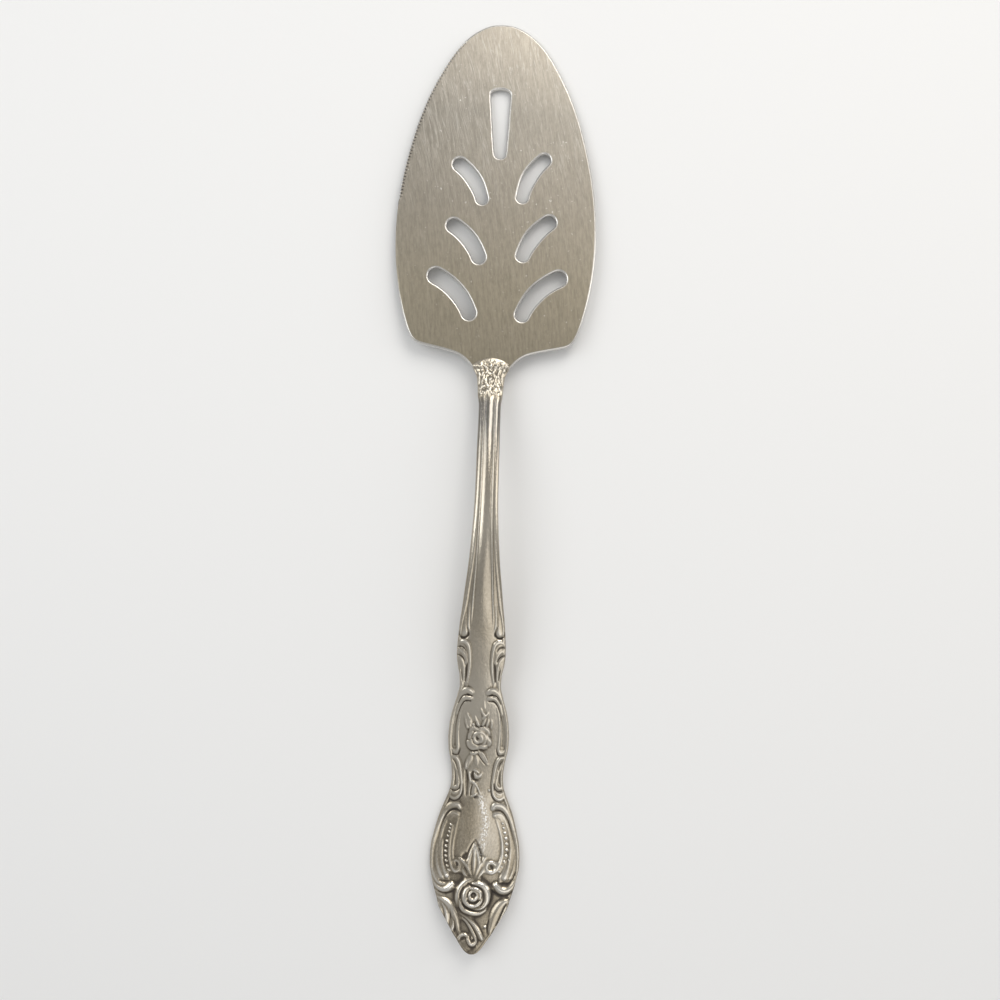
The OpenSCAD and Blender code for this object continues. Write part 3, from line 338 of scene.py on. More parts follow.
RIGHT_CUTS = [
    [(4.7, 236.3, 0.3, 0.4), (5.0, 236.9, 0.34, 0.45)],
    [(9.2, 246.5, 0.12, 0.2), (8.7, 247.6, 0.16, 0.4), (8.0, 249.2, 0.18, 0.4), (7.3, 250.8, 0.16, 0.3),
     (6.6, 252.3, 0.14, 0.2)],
    [(6.9, 240.9, 0.2, 0.3), (8.3, 241.0, 0.28, 0.42), (9.8, 240.9, 0.26, 0.4), (11.0, 239.4, 0.22, 0.34),
     (11.7, 237.9, 0.18, 0.24)],
    [(5.0, 242.6, 0.2, 0.24), (6.2, 243.8, 0.24, 0.34), (7.8, 244.4, 0.24, 0.34), (9.6, 244.1, 0.22, 0.3),
     (11.0, 243.0, 0.18, 0.22)],
    [(4.5, 251.0, 0.18, 0.24), (4.2, 252.6, 0.22, 0.32), (4.2, 254.0, 0.2, 0.26)],
]
# Lines of its left side
BROAD_LEFT = [
    [(-4.9, 222.9, 0.22, 0.05), (-5.35, 225.0, 0.22, 0.08), (-5.8, 227.4, 0.24, 0.12),
     (-6.15, 230, 0.26, 0.18), (-6.3, 232.4, 0.28, 0.25), (-6.1, 234.4, 0.28, 0.28)],
    [(-6.5, 225.4, 0.26, 0.14), (-6.9, 228, 0.28, 0.22), (-7.2, 231, 0.3, 0.3), (-7.2, 233.6, 0.34, 0.38),
     (-6.9, 235.4, 0.36, 0.44), (-6.3, 237.0, 0.4, 0.48), (-5.4, 237.95, 0.42, 0.5),
     (-4.5, 237.7, 0.38, 0.44), (-4.15, 236.8, 0.34, 0.4), (-4.5, 235.6, 0.34, 0.4),
     (-5.2, 235.1, 0.34, 0.4), (-5.8, 235.4, 0.3, 0.34)],
    [(-9.3, 229.5, 0.3, 0.14), (-9.35, 232.4, 0.38, 0.26), (-9.2, 235, 0.44, 0.38),
     (-8.7, 237.2, 0.52, 0.46), (-7.9, 238.9, 0.6, 0.5), (-7.6, 239.3, 0.56, 0.48)],
    [(-10.7, 229.5, 0.36, 0.16), (-10.75, 232.4, 0.44, 0.26), (-10.6, 235.2, 0.52, 0.34),
     (-10.1, 237.4, 0.56, 0.42), (-9.3, 239.2, 0.56, 0.44), (-8.8, 239.8, 0.42, 0.32)],
    [(-12.0, 237.4, 0.4, 0.3), (-11.3, 239.3, 0.46, 0.4), (-10.3, 240.9, 0.5, 0.46),
     (-9.0, 241.6, 0.5, 0.44), (-7.8, 241.6, 0.4, 0.34)],
    [(-12.0, 239.6, 0.38, 0.3), (-11.2, 241.2, 0.5, 0.46), (-10.1, 242.4, 0.62, 0.6),
     (-8.7, 242.9, 0.74, 0.68), (-7.3, 242.6, 0.84, 0.74), (-6.3, 241.7, 0.82, 0.74)],
    [(-11.8, 242.0, 0.3, 0.24), (-10.9, 243.2, 0.4, 0.36), (-9.6, 244.0, 0.36, 0.32),
     (-8.3, 244.2, 0.26, 0.2)],
    [(-10.6, 244.8, 0.36, 0.26), (-9.2, 245.4, 0.6, 0.44), (-7.8, 246.2, 0.8, 0.58),
     (-6.5, 247.4, 1.0, 0.68), (-5.5, 248.9, 1.05, 0.7), (-4.7, 250.5, 0.9, 0.6),
     (-4.2, 252.2, 0.7, 0.46), (-3.8, 253.8, 0.4, 0.28)],
    [(-9.3, 246.1, 0.34, 0.34), (-8.3, 247.2, 0.5, 0.5), (-7.6, 248.6, 0.56, 0.56),
     (-7.3, 250.1, 0.52, 0.54), (-7.1, 251.6, 0.44, 0.44), (-7.3, 252.6, 0.3, 0.28)],
    [(-9.6, 246.8, 0.5, 0.4), (-9.1, 248.4, 0.6, 0.5), (-8.6, 250.0, 0.5, 0.46),
     (-7.9, 251.5, 0.42, 0.36)],
    [(-5.9, 249.6, 0.26, 0.24), (-5.5, 250.9, 0.36, 0.38), (-5.3, 252.2, 0.4, 0.44),
     (-5.6, 253.4, 0.44, 0.46), (-6.1, 254.0, 0.4, 0.36)],
]
LEFT_CUTS = [
    [(-5.0, 235.6, 0.3, 0.4), (-4.8, 236.3, 0.3, 0.4)],
    [(-6.4, 247.9, 0.14, 0.16), (-6.15, 249.3, 0.2, 0.34), (-6.3, 251.0, 0.2, 0.34),
     (-6.4, 252.4, 0.18, 0.26)],
    [(-9.0, 246.4, 0.12, 0.14), (-8.4, 247.8, 0.16, 0.26), (-8.0, 249.4, 0.16, 0.28),
     (-7.7, 250.8, 0.14, 0.2)],
    [(-5.0, 251.2, 0.14, 0.16), (-4.8, 252.8, 0.2, 0.32), (-4.9, 254.2, 0.2, 0.26)],
    [(-6.9, 240.7, 0.2, 0.24), (-8.4, 240.7, 0.22, 0.34), (-9.6, 240.5, 0.2, 0.28)],
    [(-5.3, 242.9, 0.2, 0.26), (-6.6, 243.8, 0.24, 0.36), (-8.2, 244.1, 0.22, 0.32),
     (-9.8, 243.5, 0.18, 0.24)],
]
# Middle panel: sprigs, small rose, two leaves, bud and stem
MIDDLE_SPRAY = [
    [(-3.95, 193.7, 0.14, 0.14), (-3.7, 195.2, 0.2, 0.3), (-3.25, 197.0, 0.24, 0.34)],
    [(-3.5, 193.6, 0.2, 0.12), (-3.0, 195.3, 0.85, 0.24), (-2.6, 196.8, 0.6, 0.26)],
    [(-3.4, 193.1, 0.16, 0.2), (-3.0, 193.8, 0.26, 0.42), (-2.5, 194.7, 0.22, 0.34)],
    [(-1.15, 193.9, 0.14, 0.14), (-0.75, 195.2, 0.26, 0.26)],
    [(-0.6, 195.0, 0.2, 0.2), (-0.3, 195.9, 0.42, 0.44), (0.1, 196.7, 0.3, 0.36)],
    [(0.35, 191.6, 0.16, 0.14), (0.95, 192.7, 0.3, 0.36), (1.5, 193.7, 0.42, 0.44),
     (1.2, 194.4, 0.4, 0.26)],
    [(2.4, 192.9, 0.18, 0.2), (1.9, 193.5, 0.3, 0.36), (1.5, 193.7, 0.36, 0.4)],
    [(1.9, 194.3, 0.16, 0.14), (1.5, 195.3, 0.34, 0.26), (1.1, 196.4, 0.3, 0.32)],
    [(2.6, 194.8, 0.16, 0.14), (2.4, 195.9, 0.3, 0.3), (2.2, 196.7, 0.26, 0.28)],
    [(3.45, 194.9, 0.16, 0.14), (3.6, 196.0, 0.26, 0.34), (3.5, 197.1, 0.22, 0.26)],
    [(1.2, 189.6, 0.2, 0.06), (1.35, 191.4, 0.3, 0.12)],
]
SMALL_ROSE = [
    [(0.5, 199.3, 0.4, 0.66), (1.05, 199.8, 0.5, 0.74), (1.1, 200.7, 0.48, 0.74),
     (0.6, 201.3, 0.36, 0.62)],
    [(-1.3, 200.4, 0.32, 0.56), (-0.9, 201.2, 0.38, 0.66), (-0.2, 201.5, 0.38, 0.66),
     (0.3, 201.0, 0.3, 0.56)],
    [(-1.5, 199.9, 0.32, 0.5), (-1.0, 198.9, 0.36, 0.56), (0.1, 198.4, 0.4, 0.6), (1.2, 198.6, 0.4, 0.58),
     (1.9, 199.3, 0.36, 0.54), (2.1, 200.5, 0.36, 0.5), (1.7, 201.8, 0.36, 0.46)],
    [(-2.2, 200.9, 0.3, 0.42), (-1.9, 202.0, 0.36, 0.5), (-1.0, 202.5, 0.36, 0.5)],
    [(-3.0, 201.2, 0.36, 0.42), (-2.6, 202.4, 0.44, 0.52), (-1.6, 203.2, 0.46, 0.54),
     (-0.6, 203.2, 0.42, 0.48), (0, 202.7, 0.3, 0.36)],
    [(-2.3, 197.7, 0.34, 0.36), (-1.4, 197.1, 0.42, 0.46), (-0.5, 197.4, 0.38, 0.42)],
    [(-2.7, 200.2, 0.3, 0.34), (-2.6, 199.2, 0.36, 0.38), (-2.1, 198.4, 0.36, 0.38)],
    [(0.2, 197.8, 0.36, 0.4), (1.2, 197.3, 0.48, 0.54), (2.3, 197.6, 0.5, 0.54), (2.9, 198.5, 0.4, 0.44)],
    [(2.3, 199.4, 0.36, 0.4), (2.9, 200.3, 0.44, 0.48), (3.3, 201.3, 0.44, 0.48),
     (3.0, 202.1, 0.34, 0.36)],
    [(0.6, 202.8, 0.4, 0.42), (1.4, 202.9, 0.46, 0.5), (2.2, 202.8, 0.36, 0.38)],
]
SMALL_LEAVES = [
    [(0, 203.8, 0.24, 0.2), (0.9, 205.0, 0.56, 0.3), (1.9, 206.4, 0.56, 0.32), (2.8, 207.8, 0.2, 0.16)],
    [(0.9, 204.2, 0.2, 0.36), (1.9, 205.4, 0.22, 0.42), (2.65, 206.9, 0.2, 0.36)],
    [(-1.9, 204.5, 0.36, 0.34), (-1.1, 204.7, 0.42, 0.42), (-0.4, 204.3, 0.34, 0.34)],
    [(-1.7, 204.9, 0.26, 0.2), (-2.2, 206.2, 0.7, 0.28), (-2.8, 207.7, 0.62, 0.32),
     (-3.2, 209.3, 0.24, 0.2)],
    [(-2.9, 206.6, 0.22, 0.34), (-3.25, 207.9, 0.3, 0.46), (-3.25, 209.1, 0.24, 0.34)],
    [(-0.7, 205.3, 0.4, 0.12), (-0.4, 206.6, 0.56, 0.18), (-0.3, 207.9, 0.3, 0.08)],
    [(-0.8, 209.5, 0.3, 0.28), (-0.2, 209.8, 0.36, 0.34), (0.3, 210.2, 0.3, 0.28)],
    [(-0.7, 210.7, 0.4, 0.36), (-0.1, 211.3, 0.5, 0.46), (0.7, 211.1, 0.44, 0.44),
     (1.1, 210.5, 0.26, 0.26)],
    [(-2.3, 210.2, 0.22, 0.2), (-2.15, 211.6, 0.36, 0.42), (-1.85, 212.9, 0.26, 0.26)],
    [(-1.0, 213.2, 0.4, 0.26), (-0.7, 214.5, 0.62, 0.3), (-0.9, 215.9, 0.6, 0.26),
     (-1.1, 216.8, 0.3, 0.16)],
    [(-1.35, 212.9, 0.28, 0.36), (-0.4, 213.6, 0.32, 0.44), (0.4, 214.9, 0.28, 0.38),
     (1.0, 216.4, 0.18, 0.16)],
    [(-1.5, 217.1, 0.22, 0.24), (-0.7, 216.7, 0.34, 0.4), (-0.1, 216.1, 0.24, 0.26)],
]
MIDDLE_PITS = [
    [(-1.3, 210.0, 0.3, 0.34), (-1.4, 211.2, 0.4, 0.5), (-0.9, 212.2, 0.34, 0.4),
     (0.2, 212.4, 0.2, 0.24)],
    [(-0.5, 217.3, 0.3, 0.4), (0.2, 217.2, 0.26, 0.3)],
    [(0.1, 205.0, 0.14, 0.2), (1.1, 206.5, 0.16, 0.26), (2.1, 207.7, 0.12, 0.16)],
    [(-3.2, 209.4, 0.3, 0.24), (-2.95, 211.5, 0.5, 0.42), (-2.85, 214.2, 0.5, 0.42),
     (-2.9, 216.6, 0.36, 0.26)],
    [(-0.9, 196.9, 0.16, 0.2), (-0.2, 196.9, 0.18, 0.3), (0.5, 196.8, 0.18, 0.26),
     (1.6, 196.7, 0.18, 0.24)],
    [(-2.9, 200.7, 0.22, 0.34), (-2.7, 200.7, 0.2, 0.3)],
    [(-2.0, 204.0, 0.16, 0.24), (-1.0, 204.0, 0.2, 0.34), (-0.3, 203.7, 0.14, 0.2)],
    [(-0.6, 200.3, 0.3, 0.1), (0, 200.3, 0.32, 0.1)],
    [(-1.3, 213.6, 0.16, 0.2), (-1.7, 215.2, 0.2, 0.3), (-1.8, 216.6, 0.16, 0.2)],
]
# Spray over the large rose
BROAD_SPRAY = [
    [(-0.1, 230.6, 0.3, 0.2), (-0.15, 232.6, 1.0, 0.26), (-0.2, 234.8, 1.35, 0.3), (-0.2, 237, 1.1, 0.32),
     (-0.3, 239.2, 0.5, 0.3)],
    [(-0.1, 231.6, 0.24, 0.44), (-0.05, 233.6, 0.34, 0.54), (-0.1, 236.0, 0.34, 0.52),
     (-0.2, 238.6, 0.26, 0.4)],
    [(0.3, 231.3, 0.2, 0.36), (0.85, 233.2, 0.28, 0.46), (1.3, 235.2, 0.34, 0.5),
     (1.1, 237.0, 0.28, 0.42), (0.5, 238.8, 0.24, 0.34)],
    [(-0.9, 232.2, 0.2, 0.3), (-1.55, 234.0, 0.24, 0.38), (-1.75, 235.8, 0.3, 0.46),
     (-1.3, 237.5, 0.3, 0.44), (-0.7, 239.0, 0.24, 0.34)],
    [(-0.6, 239.3, 0.34, 0.42), (-1.3, 237.9, 0.42, 0.5), (-2.2, 236.3, 0.5, 0.54),
     (-3.2, 235.2, 0.5, 0.46), (-4.2, 234.4, 0.3, 0.28)],
    [(-1.7, 239.3, 0.36, 0.42), (-2.6, 238.6, 0.5, 0.5), (-3.2, 237.5, 0.44, 0.42),
     (-3.6, 236.4, 0.24, 0.22)],
    [(0.4, 239.2, 0.34, 0.42), (0.9, 237.6, 0.38, 0.46), (1.7, 236.0, 0.44, 0.46),
     (2.5, 234.7, 0.36, 0.36), (3.1, 234.0, 0.22, 0.2)],
    [(1.2, 239.3, 0.36, 0.4), (2.1, 238.2, 0.46, 0.44), (2.7, 237.0, 0.36, 0.36),
     (2.8, 235.9, 0.22, 0.2)],
]
SPRAY_CUTS = [
    [(-0.1, 229.2, 0.16, 0.24), (-0.9, 230.6, 0.24, 0.4), (-1.7, 232.3, 0.24, 0.42),
     (-2.3, 234.3, 0.22, 0.36), (-2.5, 235.7, 0.16, 0.2)],
    [(0, 229.2, 0.16, 0.24), (0.8, 230.6, 0.24, 0.4), (1.5, 232.3, 0.26, 0.44), (2.0, 234.0, 0.26, 0.42),
     (2.1, 235.3, 0.18, 0.24)],
    [(-0.6, 233.0, 0.12, 0.16), (-0.85, 235.2, 0.16, 0.26), (-0.7, 237.4, 0.14, 0.22)],
    [(0.4, 233.2, 0.12, 0.16), (0.62, 235.2, 0.16, 0.26), (0.5, 237.2, 0.14, 0.22)],
    [(-2.5, 233.2, 0.5, 0.36), (-3.1, 233.9, 0.5, 0.4), (-2.7, 234.9, 0.26, 0.3)],
    [(-2.0, 238.0, 0.16, 0.26), (-2.7, 236.9, 0.16, 0.26)],
    [(1.4, 238.1, 0.14, 0.24), (2.1, 236.7, 0.14, 0.24)],
]
# Large rose: petals from the outside in
LARGE_ROSE = [
    [(-0.4, 239.9, 0.36, 0.42), (-1.8, 240.2, 0.5, 0.52), (-3.1, 241.1, 0.56, 0.56),
     (-4.1, 242.5, 0.58, 0.56), (-4.6, 244.3, 0.58, 0.54), (-4.6, 246.0, 0.52, 0.48),
     (-4.3, 247.4, 0.38, 0.36)],
    [(-3.8, 245.6, 0.42, 0.56), (-3.5, 247.2, 0.5, 0.64), (-2.7, 248.4, 0.52, 0.66),
     (-1.3, 249.0, 0.52, 0.64), (0.4, 249.3, 0.52, 0.62), (2.1, 249.0, 0.48, 0.56),
     (3.5, 248.2, 0.36, 0.42)],
    [(0, 240.9, 0.4, 0.6), (1.3, 240.95, 0.62, 0.76), (2.7, 241.5, 0.8, 0.86), (3.7, 242.7, 0.82, 0.86),
     (4.1, 244.3, 0.72, 0.8), (3.9, 245.9, 0.6, 0.72), (3.1, 247.2, 0.52, 0.64), (1.9, 248.0, 0.44, 0.56),
     (0.6, 248.2, 0.36, 0.46)],
    [(-1.2, 242.0, 0.5, 0.7), (-2.2, 242.9, 0.62, 0.82), (-2.6, 244.3, 0.78, 0.92),
     (-2.3, 245.6, 0.86, 0.98), (-1.4, 246.6, 0.76, 0.94), (-0.1, 247.0, 0.66, 0.88),
     (1.2, 246.8, 0.54, 0.82), (2.1, 246.0, 0.46, 0.76), (2.6, 245.0, 0.36, 0.66)],
    [(-0.8, 242.2, 0.42, 0.8), (0.4, 242.2, 0.56, 0.94), (1.5, 242.7, 0.58, 0.98),
     (2.1, 243.8, 0.52, 0.94), (1.9, 245.0, 0.42, 0.84)],
    [(-0.9, 243.3, 0.3, 0.96), (-1.2, 244.2, 0.32, 1.0), (-0.85, 245.1, 0.34, 1.04),
     (0, 245.45, 0.36, 1.06), (0.85, 245.1, 0.34, 1.04), (1.2, 244.2, 0.32, 1.0),
     (0.85, 243.3, 0.3, 0.96), (0, 242.95, 0.28, 0.94), (-0.9, 243.3, 0.28, 0.94)],
]
ROSE_CUTS = [
    [(-3.0, 242.3, 0.3, 0.3), (-3.7, 243.9, 0.26, 0.34), (-3.7, 245.6, 0.2, 0.24)],
    [(-1.6, 241.1, 0.26, 0.3), (-0.2, 241.6, 0.2, 0.36), (1.4, 241.9, 0.24, 0.5), (2.6, 242.8, 0.24, 0.5),
     (3.0, 244.2, 0.2, 0.36), (2.9, 245.8, 0.18, 0.26), (2.2, 247.0, 0.18, 0.24)],
    [(-3.1, 246.2, 0.2, 0.3), (-2.5, 247.2, 0.3, 0.6), (-1.4, 247.9, 0.34, 0.7), (0.1, 248.4, 0.34, 0.7),
     (1.8, 248.4, 0.3, 0.6), (3.2, 247.7, 0.22, 0.4), (4.3, 246.6, 0.16, 0.2)],
    [(-1.6, 245.3, 0.22, 0.4), (-1.0, 246.1, 0.34, 0.8), (0.1, 246.4, 0.36, 0.85),
     (1.1, 246.0, 0.28, 0.6), (1.8, 245.3, 0.2, 0.3)],
    [(-1.5, 243.4, 0.16, 0.24), (-1.7, 244.5, 0.16, 0.26)],
    [(-0.6, 244.3, 0.16, 0.2), (-0.45, 243.8, 0.18, 0.36), (0.1, 243.5, 0.2, 0.46),
     (0.6, 243.8, 0.18, 0.36), (0.7, 244.3, 0.14, 0.16)],
]
# Scroll at the tip
TIP_SCROLL = [
    [(-3.3, 249.3, 0.34, 0.34), (-1.9, 250.1, 0.46, 0.46), (-0.4, 251.3, 0.54, 0.54),
     (0.9, 252.7, 0.58, 0.56), (1.9, 254.2, 0.56, 0.52), (2.8, 255.8, 0.46, 0.4)],
    [(-2.8, 250.4, 0.3, 0.32), (-1.6, 251.3, 0.4, 0.46), (-0.6, 252.7, 0.44, 0.5),
     (0.2, 254.1, 0.46, 0.52), (0.9, 255.4, 0.46, 0.54), (1.1, 256.5, 0.48, 0.56),
     (0.5, 257.3, 0.52, 0.58), (-0.4, 257.1, 0.54, 0.6), (-1.0, 256.2, 0.5, 0.56),
     (-1.3, 255.3, 0.44, 0.48), (-2.2, 254.8, 0.42, 0.44), (-3.2, 255.2, 0.4, 0.36),
     (-3.8, 256.2, 0.3, 0.24)],
    [(0.05, 255.6, 0.24, 0.4), (0.0, 255.8, 0.24, 0.4)],
]
TIP_CUTS = [
    [(-2.6, 250.0, 0.1, 0.14), (-1.2, 251.3, 0.14, 0.26), (0, 252.8, 0.16, 0.3), (1.0, 254.4, 0.2, 0.32),
     (1.7, 256.0, 0.24, 0.3), (1.6, 257.2, 0.2, 0.2)],
    [(0.2, 256.3, 0.26, 0.3), (0.35, 256.1, 0.24, 0.3)],
    [(-2.4, 256.1, 0.36, 0.3), (-2.9, 256.2, 0.3, 0.26)],
]
# Low domes under the roses and the tip, and single pearls, as (x, station, radius, height)
DOMES = [(0, 244.2, 5.2, 0.34), (-0.1, 200.5, 3.1, 0.2), (-1.8, 257.4, 1.9, 0.16)]
PEARLS = [
    (-3.15, 197.1, 0.34, 0.26), (-2.45, 196.7, 0.28, 0.24), (-1.5, 196.3, 0.4, 0.3),
    (0, 244.25, 0.5, 0.56), (3.6, 252.6, 0.42, 0.34), (6.3, 251.0, 0.32, 0.3),
    (3.5, 215.2, 0.34, 0.28), (9.7, 234.6, 0.34, 0.34), (5.3, 242.3, 0.36, 0.3),
    (-7.6, 239.3, 0.55, 0.56),
]

# What is drawn for one side and mirrored, and what stands alone
PAIRED = FILLS + COLLAR_PAIRED + UPPER_LEAF + MIDDLE_BORDER + LONG_LEAF + BROAD_BORDER
PAIRED_CUTS = UPPER_CUTS + MIDDLE_CUTS + LONG_CUTS + BROAD_CUTS
ALONE = COLLAR_ALONE + BROAD_RIGHT + BROAD_LEFT + MIDDLE_SPRAY + SMALL_LEAVES + BROAD_SPRAY + TIP_SCROLL
ALONE_CUTS = RIGHT_CUTS + LEFT_CUTS + MIDDLE_PITS + SPRAY_CUTS + ROSE_CUTS + TIP_CUTS
ROSES = [(LARGE_ROSE, (0.0, 244.1)), (SMALL_ROSE, (0.0, 200.4))]

# Grains of the collar, scattered over its wide foot and its narrower top
GRAINS = 90
GRAIN_SPAN = (95.4, 104.6)
GRAIN_SIZES = (0.28, 0.5)
GRAIN_H = 0.4
FOOT_END = 98
FOOT_HALF = 5.2
TOP_HALF = 3.2
rng = np.random.default_rng(7)
grain_x = rng.uniform(-1, 1, GRAINS)
grain_s = rng.uniform(*GRAIN_SPAN, GRAINS)
grain_r = rng.uniform(*GRAIN_SIZES, GRAINS)
GRAIN_BALLS = [(x * (FOOT_HALF if s < FOOT_END else TOP_HALF), s, r, GRAIN_H * r)
               for x, s, r in zip(grain_x, grain_s, grain_r)]

# Foot of a ridge in half widths, wider on the side of a petal that faces the heart of its rose
SPREAD = 1.3
CUP = 2.3
PATH_STEPS = 6
# Heights of lines and cuts: lines stand higher on the broad end, cuts go deeper above it
LINE_SCALE = 0.62
END_GAIN = 0.28
END_SPAN = (236, 241)
CUT_SCALE = 0.4
UPPER_CUT_GAIN = 0.4
UPPER_CUT_SPAN = (218, 224)
BEAD_H = 0.34
BEAD_SIZE = 0.84
BALL_POWER = 0.6
# Low fill in narrow gaps between lines: along both borders, and all over the broad end
FILL_SHARE = 0.72
FILL_CELLS = 3
FILL_SPAN = (171, 175)
FILL_BORDER = (3.3, 3.9)
FILL_ALL_SPAN = (221, 225)
# The stem's two lines and the low panel between them, with places as shares of the half width
STEM_FROM = (102, 106)
STEM_TO = (160, 170)
STEM_LINE_U = 0.5
STEM_LINE_W = 0.26
STEM_LINE_H = 0.19
PANEL_U = 0.42
PANEL_H = 0.13
# Raised rim, wider and further in on the stem and lower at the tip
RIM_H = 0.24
RIM_IN = 0.45
RIM_W = 0.5
BAND_IN = 0.18
BAND_W = 0.35
RIM_FROM = (104, 108)
RIM_TO = (251, 257)
TIP_RIM = 0.25


def line_field(x_at, s_at, lines, height, heart=None):
    """Raises height to rounded ridges along lines. A petal slopes more gently towards the heart."""
    for line in lines:
        p = curve(line, PATH_STEPS)
        w = p[:, 2].max() * SPREAD * (CUP if heart else 1.0)
        rows = np.nonzero((s_at[:, 0] > p[:, 1].min() - w) & (s_at[:, 0] < p[:, 1].max() + w))[0]
        if not len(rows):
            continue
        r = slice(rows[0], rows[-1] + 1)
        cols = np.nonzero(((x_at[r] > p[:, 0].min() - w) & (x_at[r] < p[:, 0].max() + w)).any(0))[0]
        if not len(cols):
            continue
        c = slice(cols[0], cols[-1] + 1)
        for a, b in zip(p[:-1], p[1:]):
            raise_ridge(x_at[r, c], s_at[r, c], a, b, height[r, c], heart)


def raise_ridge(x, s, a, b, best, heart):
    """Raises best to a ridge from point a to point b of a line."""
    vx, vs = b[0] - a[0], b[1] - a[1]
    t = np.clip(((x - a[0]) * vx + (s - a[1]) * vs) / max(vx * vx + vs * vs, 1e-9), 0, 1)
    near_x, near_s = a[0] + t * vx, a[1] + t * vs
    wide = SPREAD * (a[2] + (b[2] - a[2]) * t)
    if heart:
        out_here = np.hypot(x - heart[0], s - heart[1])
        out_line = np.hypot(near_x - heart[0], near_s - heart[1])
        wide = np.where(out_here < out_line, wide * CUP, wide)
    q = ((x - near_x) ** 2 + (s - near_s) ** 2) / wide**2
    np.maximum(best, (a[3] + (b[3] - a[3]) * t) * np.clip(1 - q, 0, 1), out=best)


def ball_field(x_at, s_at, balls, height):
    """Raises height to low balls (x, station, radius, height)."""
    for x, s, r, high in balls:
        q = ((x_at - x) ** 2 + (s_at - s) ** 2) / r**2
        np.maximum(height, high * np.clip(1 - q, 0, 1) ** BALL_POWER, out=height)


def closing(a, n):
    """Fills hollows less than about 2n cells wide: grows the high parts n times, then shrinks them."""
    for extreme in (np.maximum, np.minimum):
        for _ in range(n):
            p = np.pad(a, 1, mode="edge")
            a = extreme(extreme(p[:-2, 1:-1], p[2:, 1:-1]), p[1:-1, 1:-1])
            p = np.pad(a, 1, mode="edge")
            a = extreme(extreme(p[1:-1, :-2], p[1:-1, 2:]), p[1:-1, 1:-1])
    return a


def blur(a, n):
    """Box blur by n cells each way, run twice."""
    for _ in range(2):
        for axis in (0, 1):
            pad = [(0, 0), (0, 0)]
            pad[axis] = (n + 1, n)
            c = np.cumsum(np.pad(a, pad, mode="edge"), axis=axis)
            k = 2 * n + 1
            a = (c[k:] - c[:-k]) / k if axis == 0 else (c[:, k:] - c[:, :-k]) / k
    return a


def ridge(distance, half_width):
    return np.clip(1 - (distance / half_width) ** 2, 0, 1)


def ornament(x_at, s_at):
    """Height of all lines, fills and beads."""
    side = np.abs(x_at)
    up = np.zeros_like(x_at)
    line_field(side, s_at, PAIRED, up)
    line_field(x_at, s_at, ALONE, up)
    for petals, heart in ROSES:
        line_field(x_at, s_at, petals, up, heart)
    up *= LINE_SCALE * (1 + END_GAIN * rise(s_at, END_SPAN))
    fill_on = rise(s_at, FILL_SPAN) * np.maximum(rise(side, FILL_BORDER), rise(s_at, FILL_ALL_SPAN))
    up = np.maximum(up, FILL_SHARE * fill_on * closing(up, FILL_CELLS))
    beads = [(x, s, BEAD_SIZE * r, BEAD_H) for x, s, r in BEADS_LEFT + BEADS_RIGHT]
    ball_field(x_at, s_at, beads + PEARLS, up)
    return up


def cut_depth(x_at, s_at):
    cut = np.zeros_like(x_at)
    line_field(np.abs(x_at), s_at, PAIRED_CUTS, cut)
    line_field(x_at, s_at, ALONE_CUTS, cut)
    return CUT_SCALE * cut * (1 + UPPER_CUT_GAIN * (1 - rise(s_at, UPPER_CUT_SPAN)))


def relief_height(x_at, s_at, half_at):
    """Height of the ornament over the plain crowned surface."""
    side = np.abs(x_at)
    stem_on = rise(s_at, STEM_FROM) * (1 - rise(s_at, STEM_TO))
    stem_lines = STEM_LINE_H * ridge(side - STEM_LINE_U * half_at, STEM_LINE_W)
    stem = stem_on * (stem_lines + PANEL_H * ridge(x_at, PANEL_U * half_at))
    rim_on = rise(s_at, RIM_FROM) * (1 - (1 - TIP_RIM) * rise(s_at, RIM_TO))
    rim_at = half_at - side - (RIM_IN + BAND_IN * stem_on)
    rim = RIM_H * rim_on * ridge(rim_at, RIM_W + BAND_W * stem_on)
    high = np.maximum(np.maximum(ornament(x_at, s_at), stem), rim) - cut_depth(x_at, s_at)
    for balls in (DOMES, GRAIN_BALLS):
        extra = np.zeros_like(x_at)
        ball_field(x_at, s_at, balls, extra)
        high += extra
    return high


# Cross-sections of the handle, close together where there is ornament
stations = np.concatenate([
    [HANDLE_S, 94.4, 94.55],
    np.arange(94.7, 107, 0.22),
    np.arange(107.3, 160, 1.1),
    np.arange(160.5, 170.8, 0.36),
    np.arange(171.0, 259.2, 0.185),
    [259.4, 259.6, 259.75, 259.9, TOTAL],
])
ACROSS = 62
# Rounded edges: their size, how far in the top face ends as a share of it, and the drop there
EDGE_R = 0.3
EDGE_SHARE = 0.3
EDGE_IN = 0.35
EDGE_DROP = 0.16
TOP_GAP = 0.001
# Hollows are found against two blurs, as (cells, weight)
HOLLOW_BLURS = [(2, 0.9), (5, 0.4)]

half = along(HANDLE_HALF, stations)
low = bottom(stations)
edge = np.minimum(EDGE_R, half * EDGE_SHARE)
face_half = half - edge * EDGE_IN
X = np.linspace(-1, 1, 2 * ACROSS + 1)[None, :] * face_half[:, None]
S = np.repeat(stations[:, None], X.shape[1], axis=1)
relief = relief_height(X, S, half[:, None])
relief = 0.5 * (relief + blur(relief, 1))
hollow = sum(weight * (blur(relief, cells) - relief) for cells, weight in HOLLOW_BLURS)
Z = (low + along(RIM_TABLE, stations))[:, None] + relief
Z += along(CROWN_TABLE, stations)[:, None] * (1 - (X / half[:, None]) ** 2)
Z -= EDGE_DROP * np.clip((np.abs(X) - (half - edge)[:, None]) / edge[:, None], 0, 1) ** 2
Z = np.minimum(Z, CAD_BOX[1][2] / MM - TOP_GAP)

# Points down each side wall as a share of its height, then heights over the underside
WALL_SHARE = 0.62
WALL_LOW = 0.3
WALL_LOWEST = 0.08
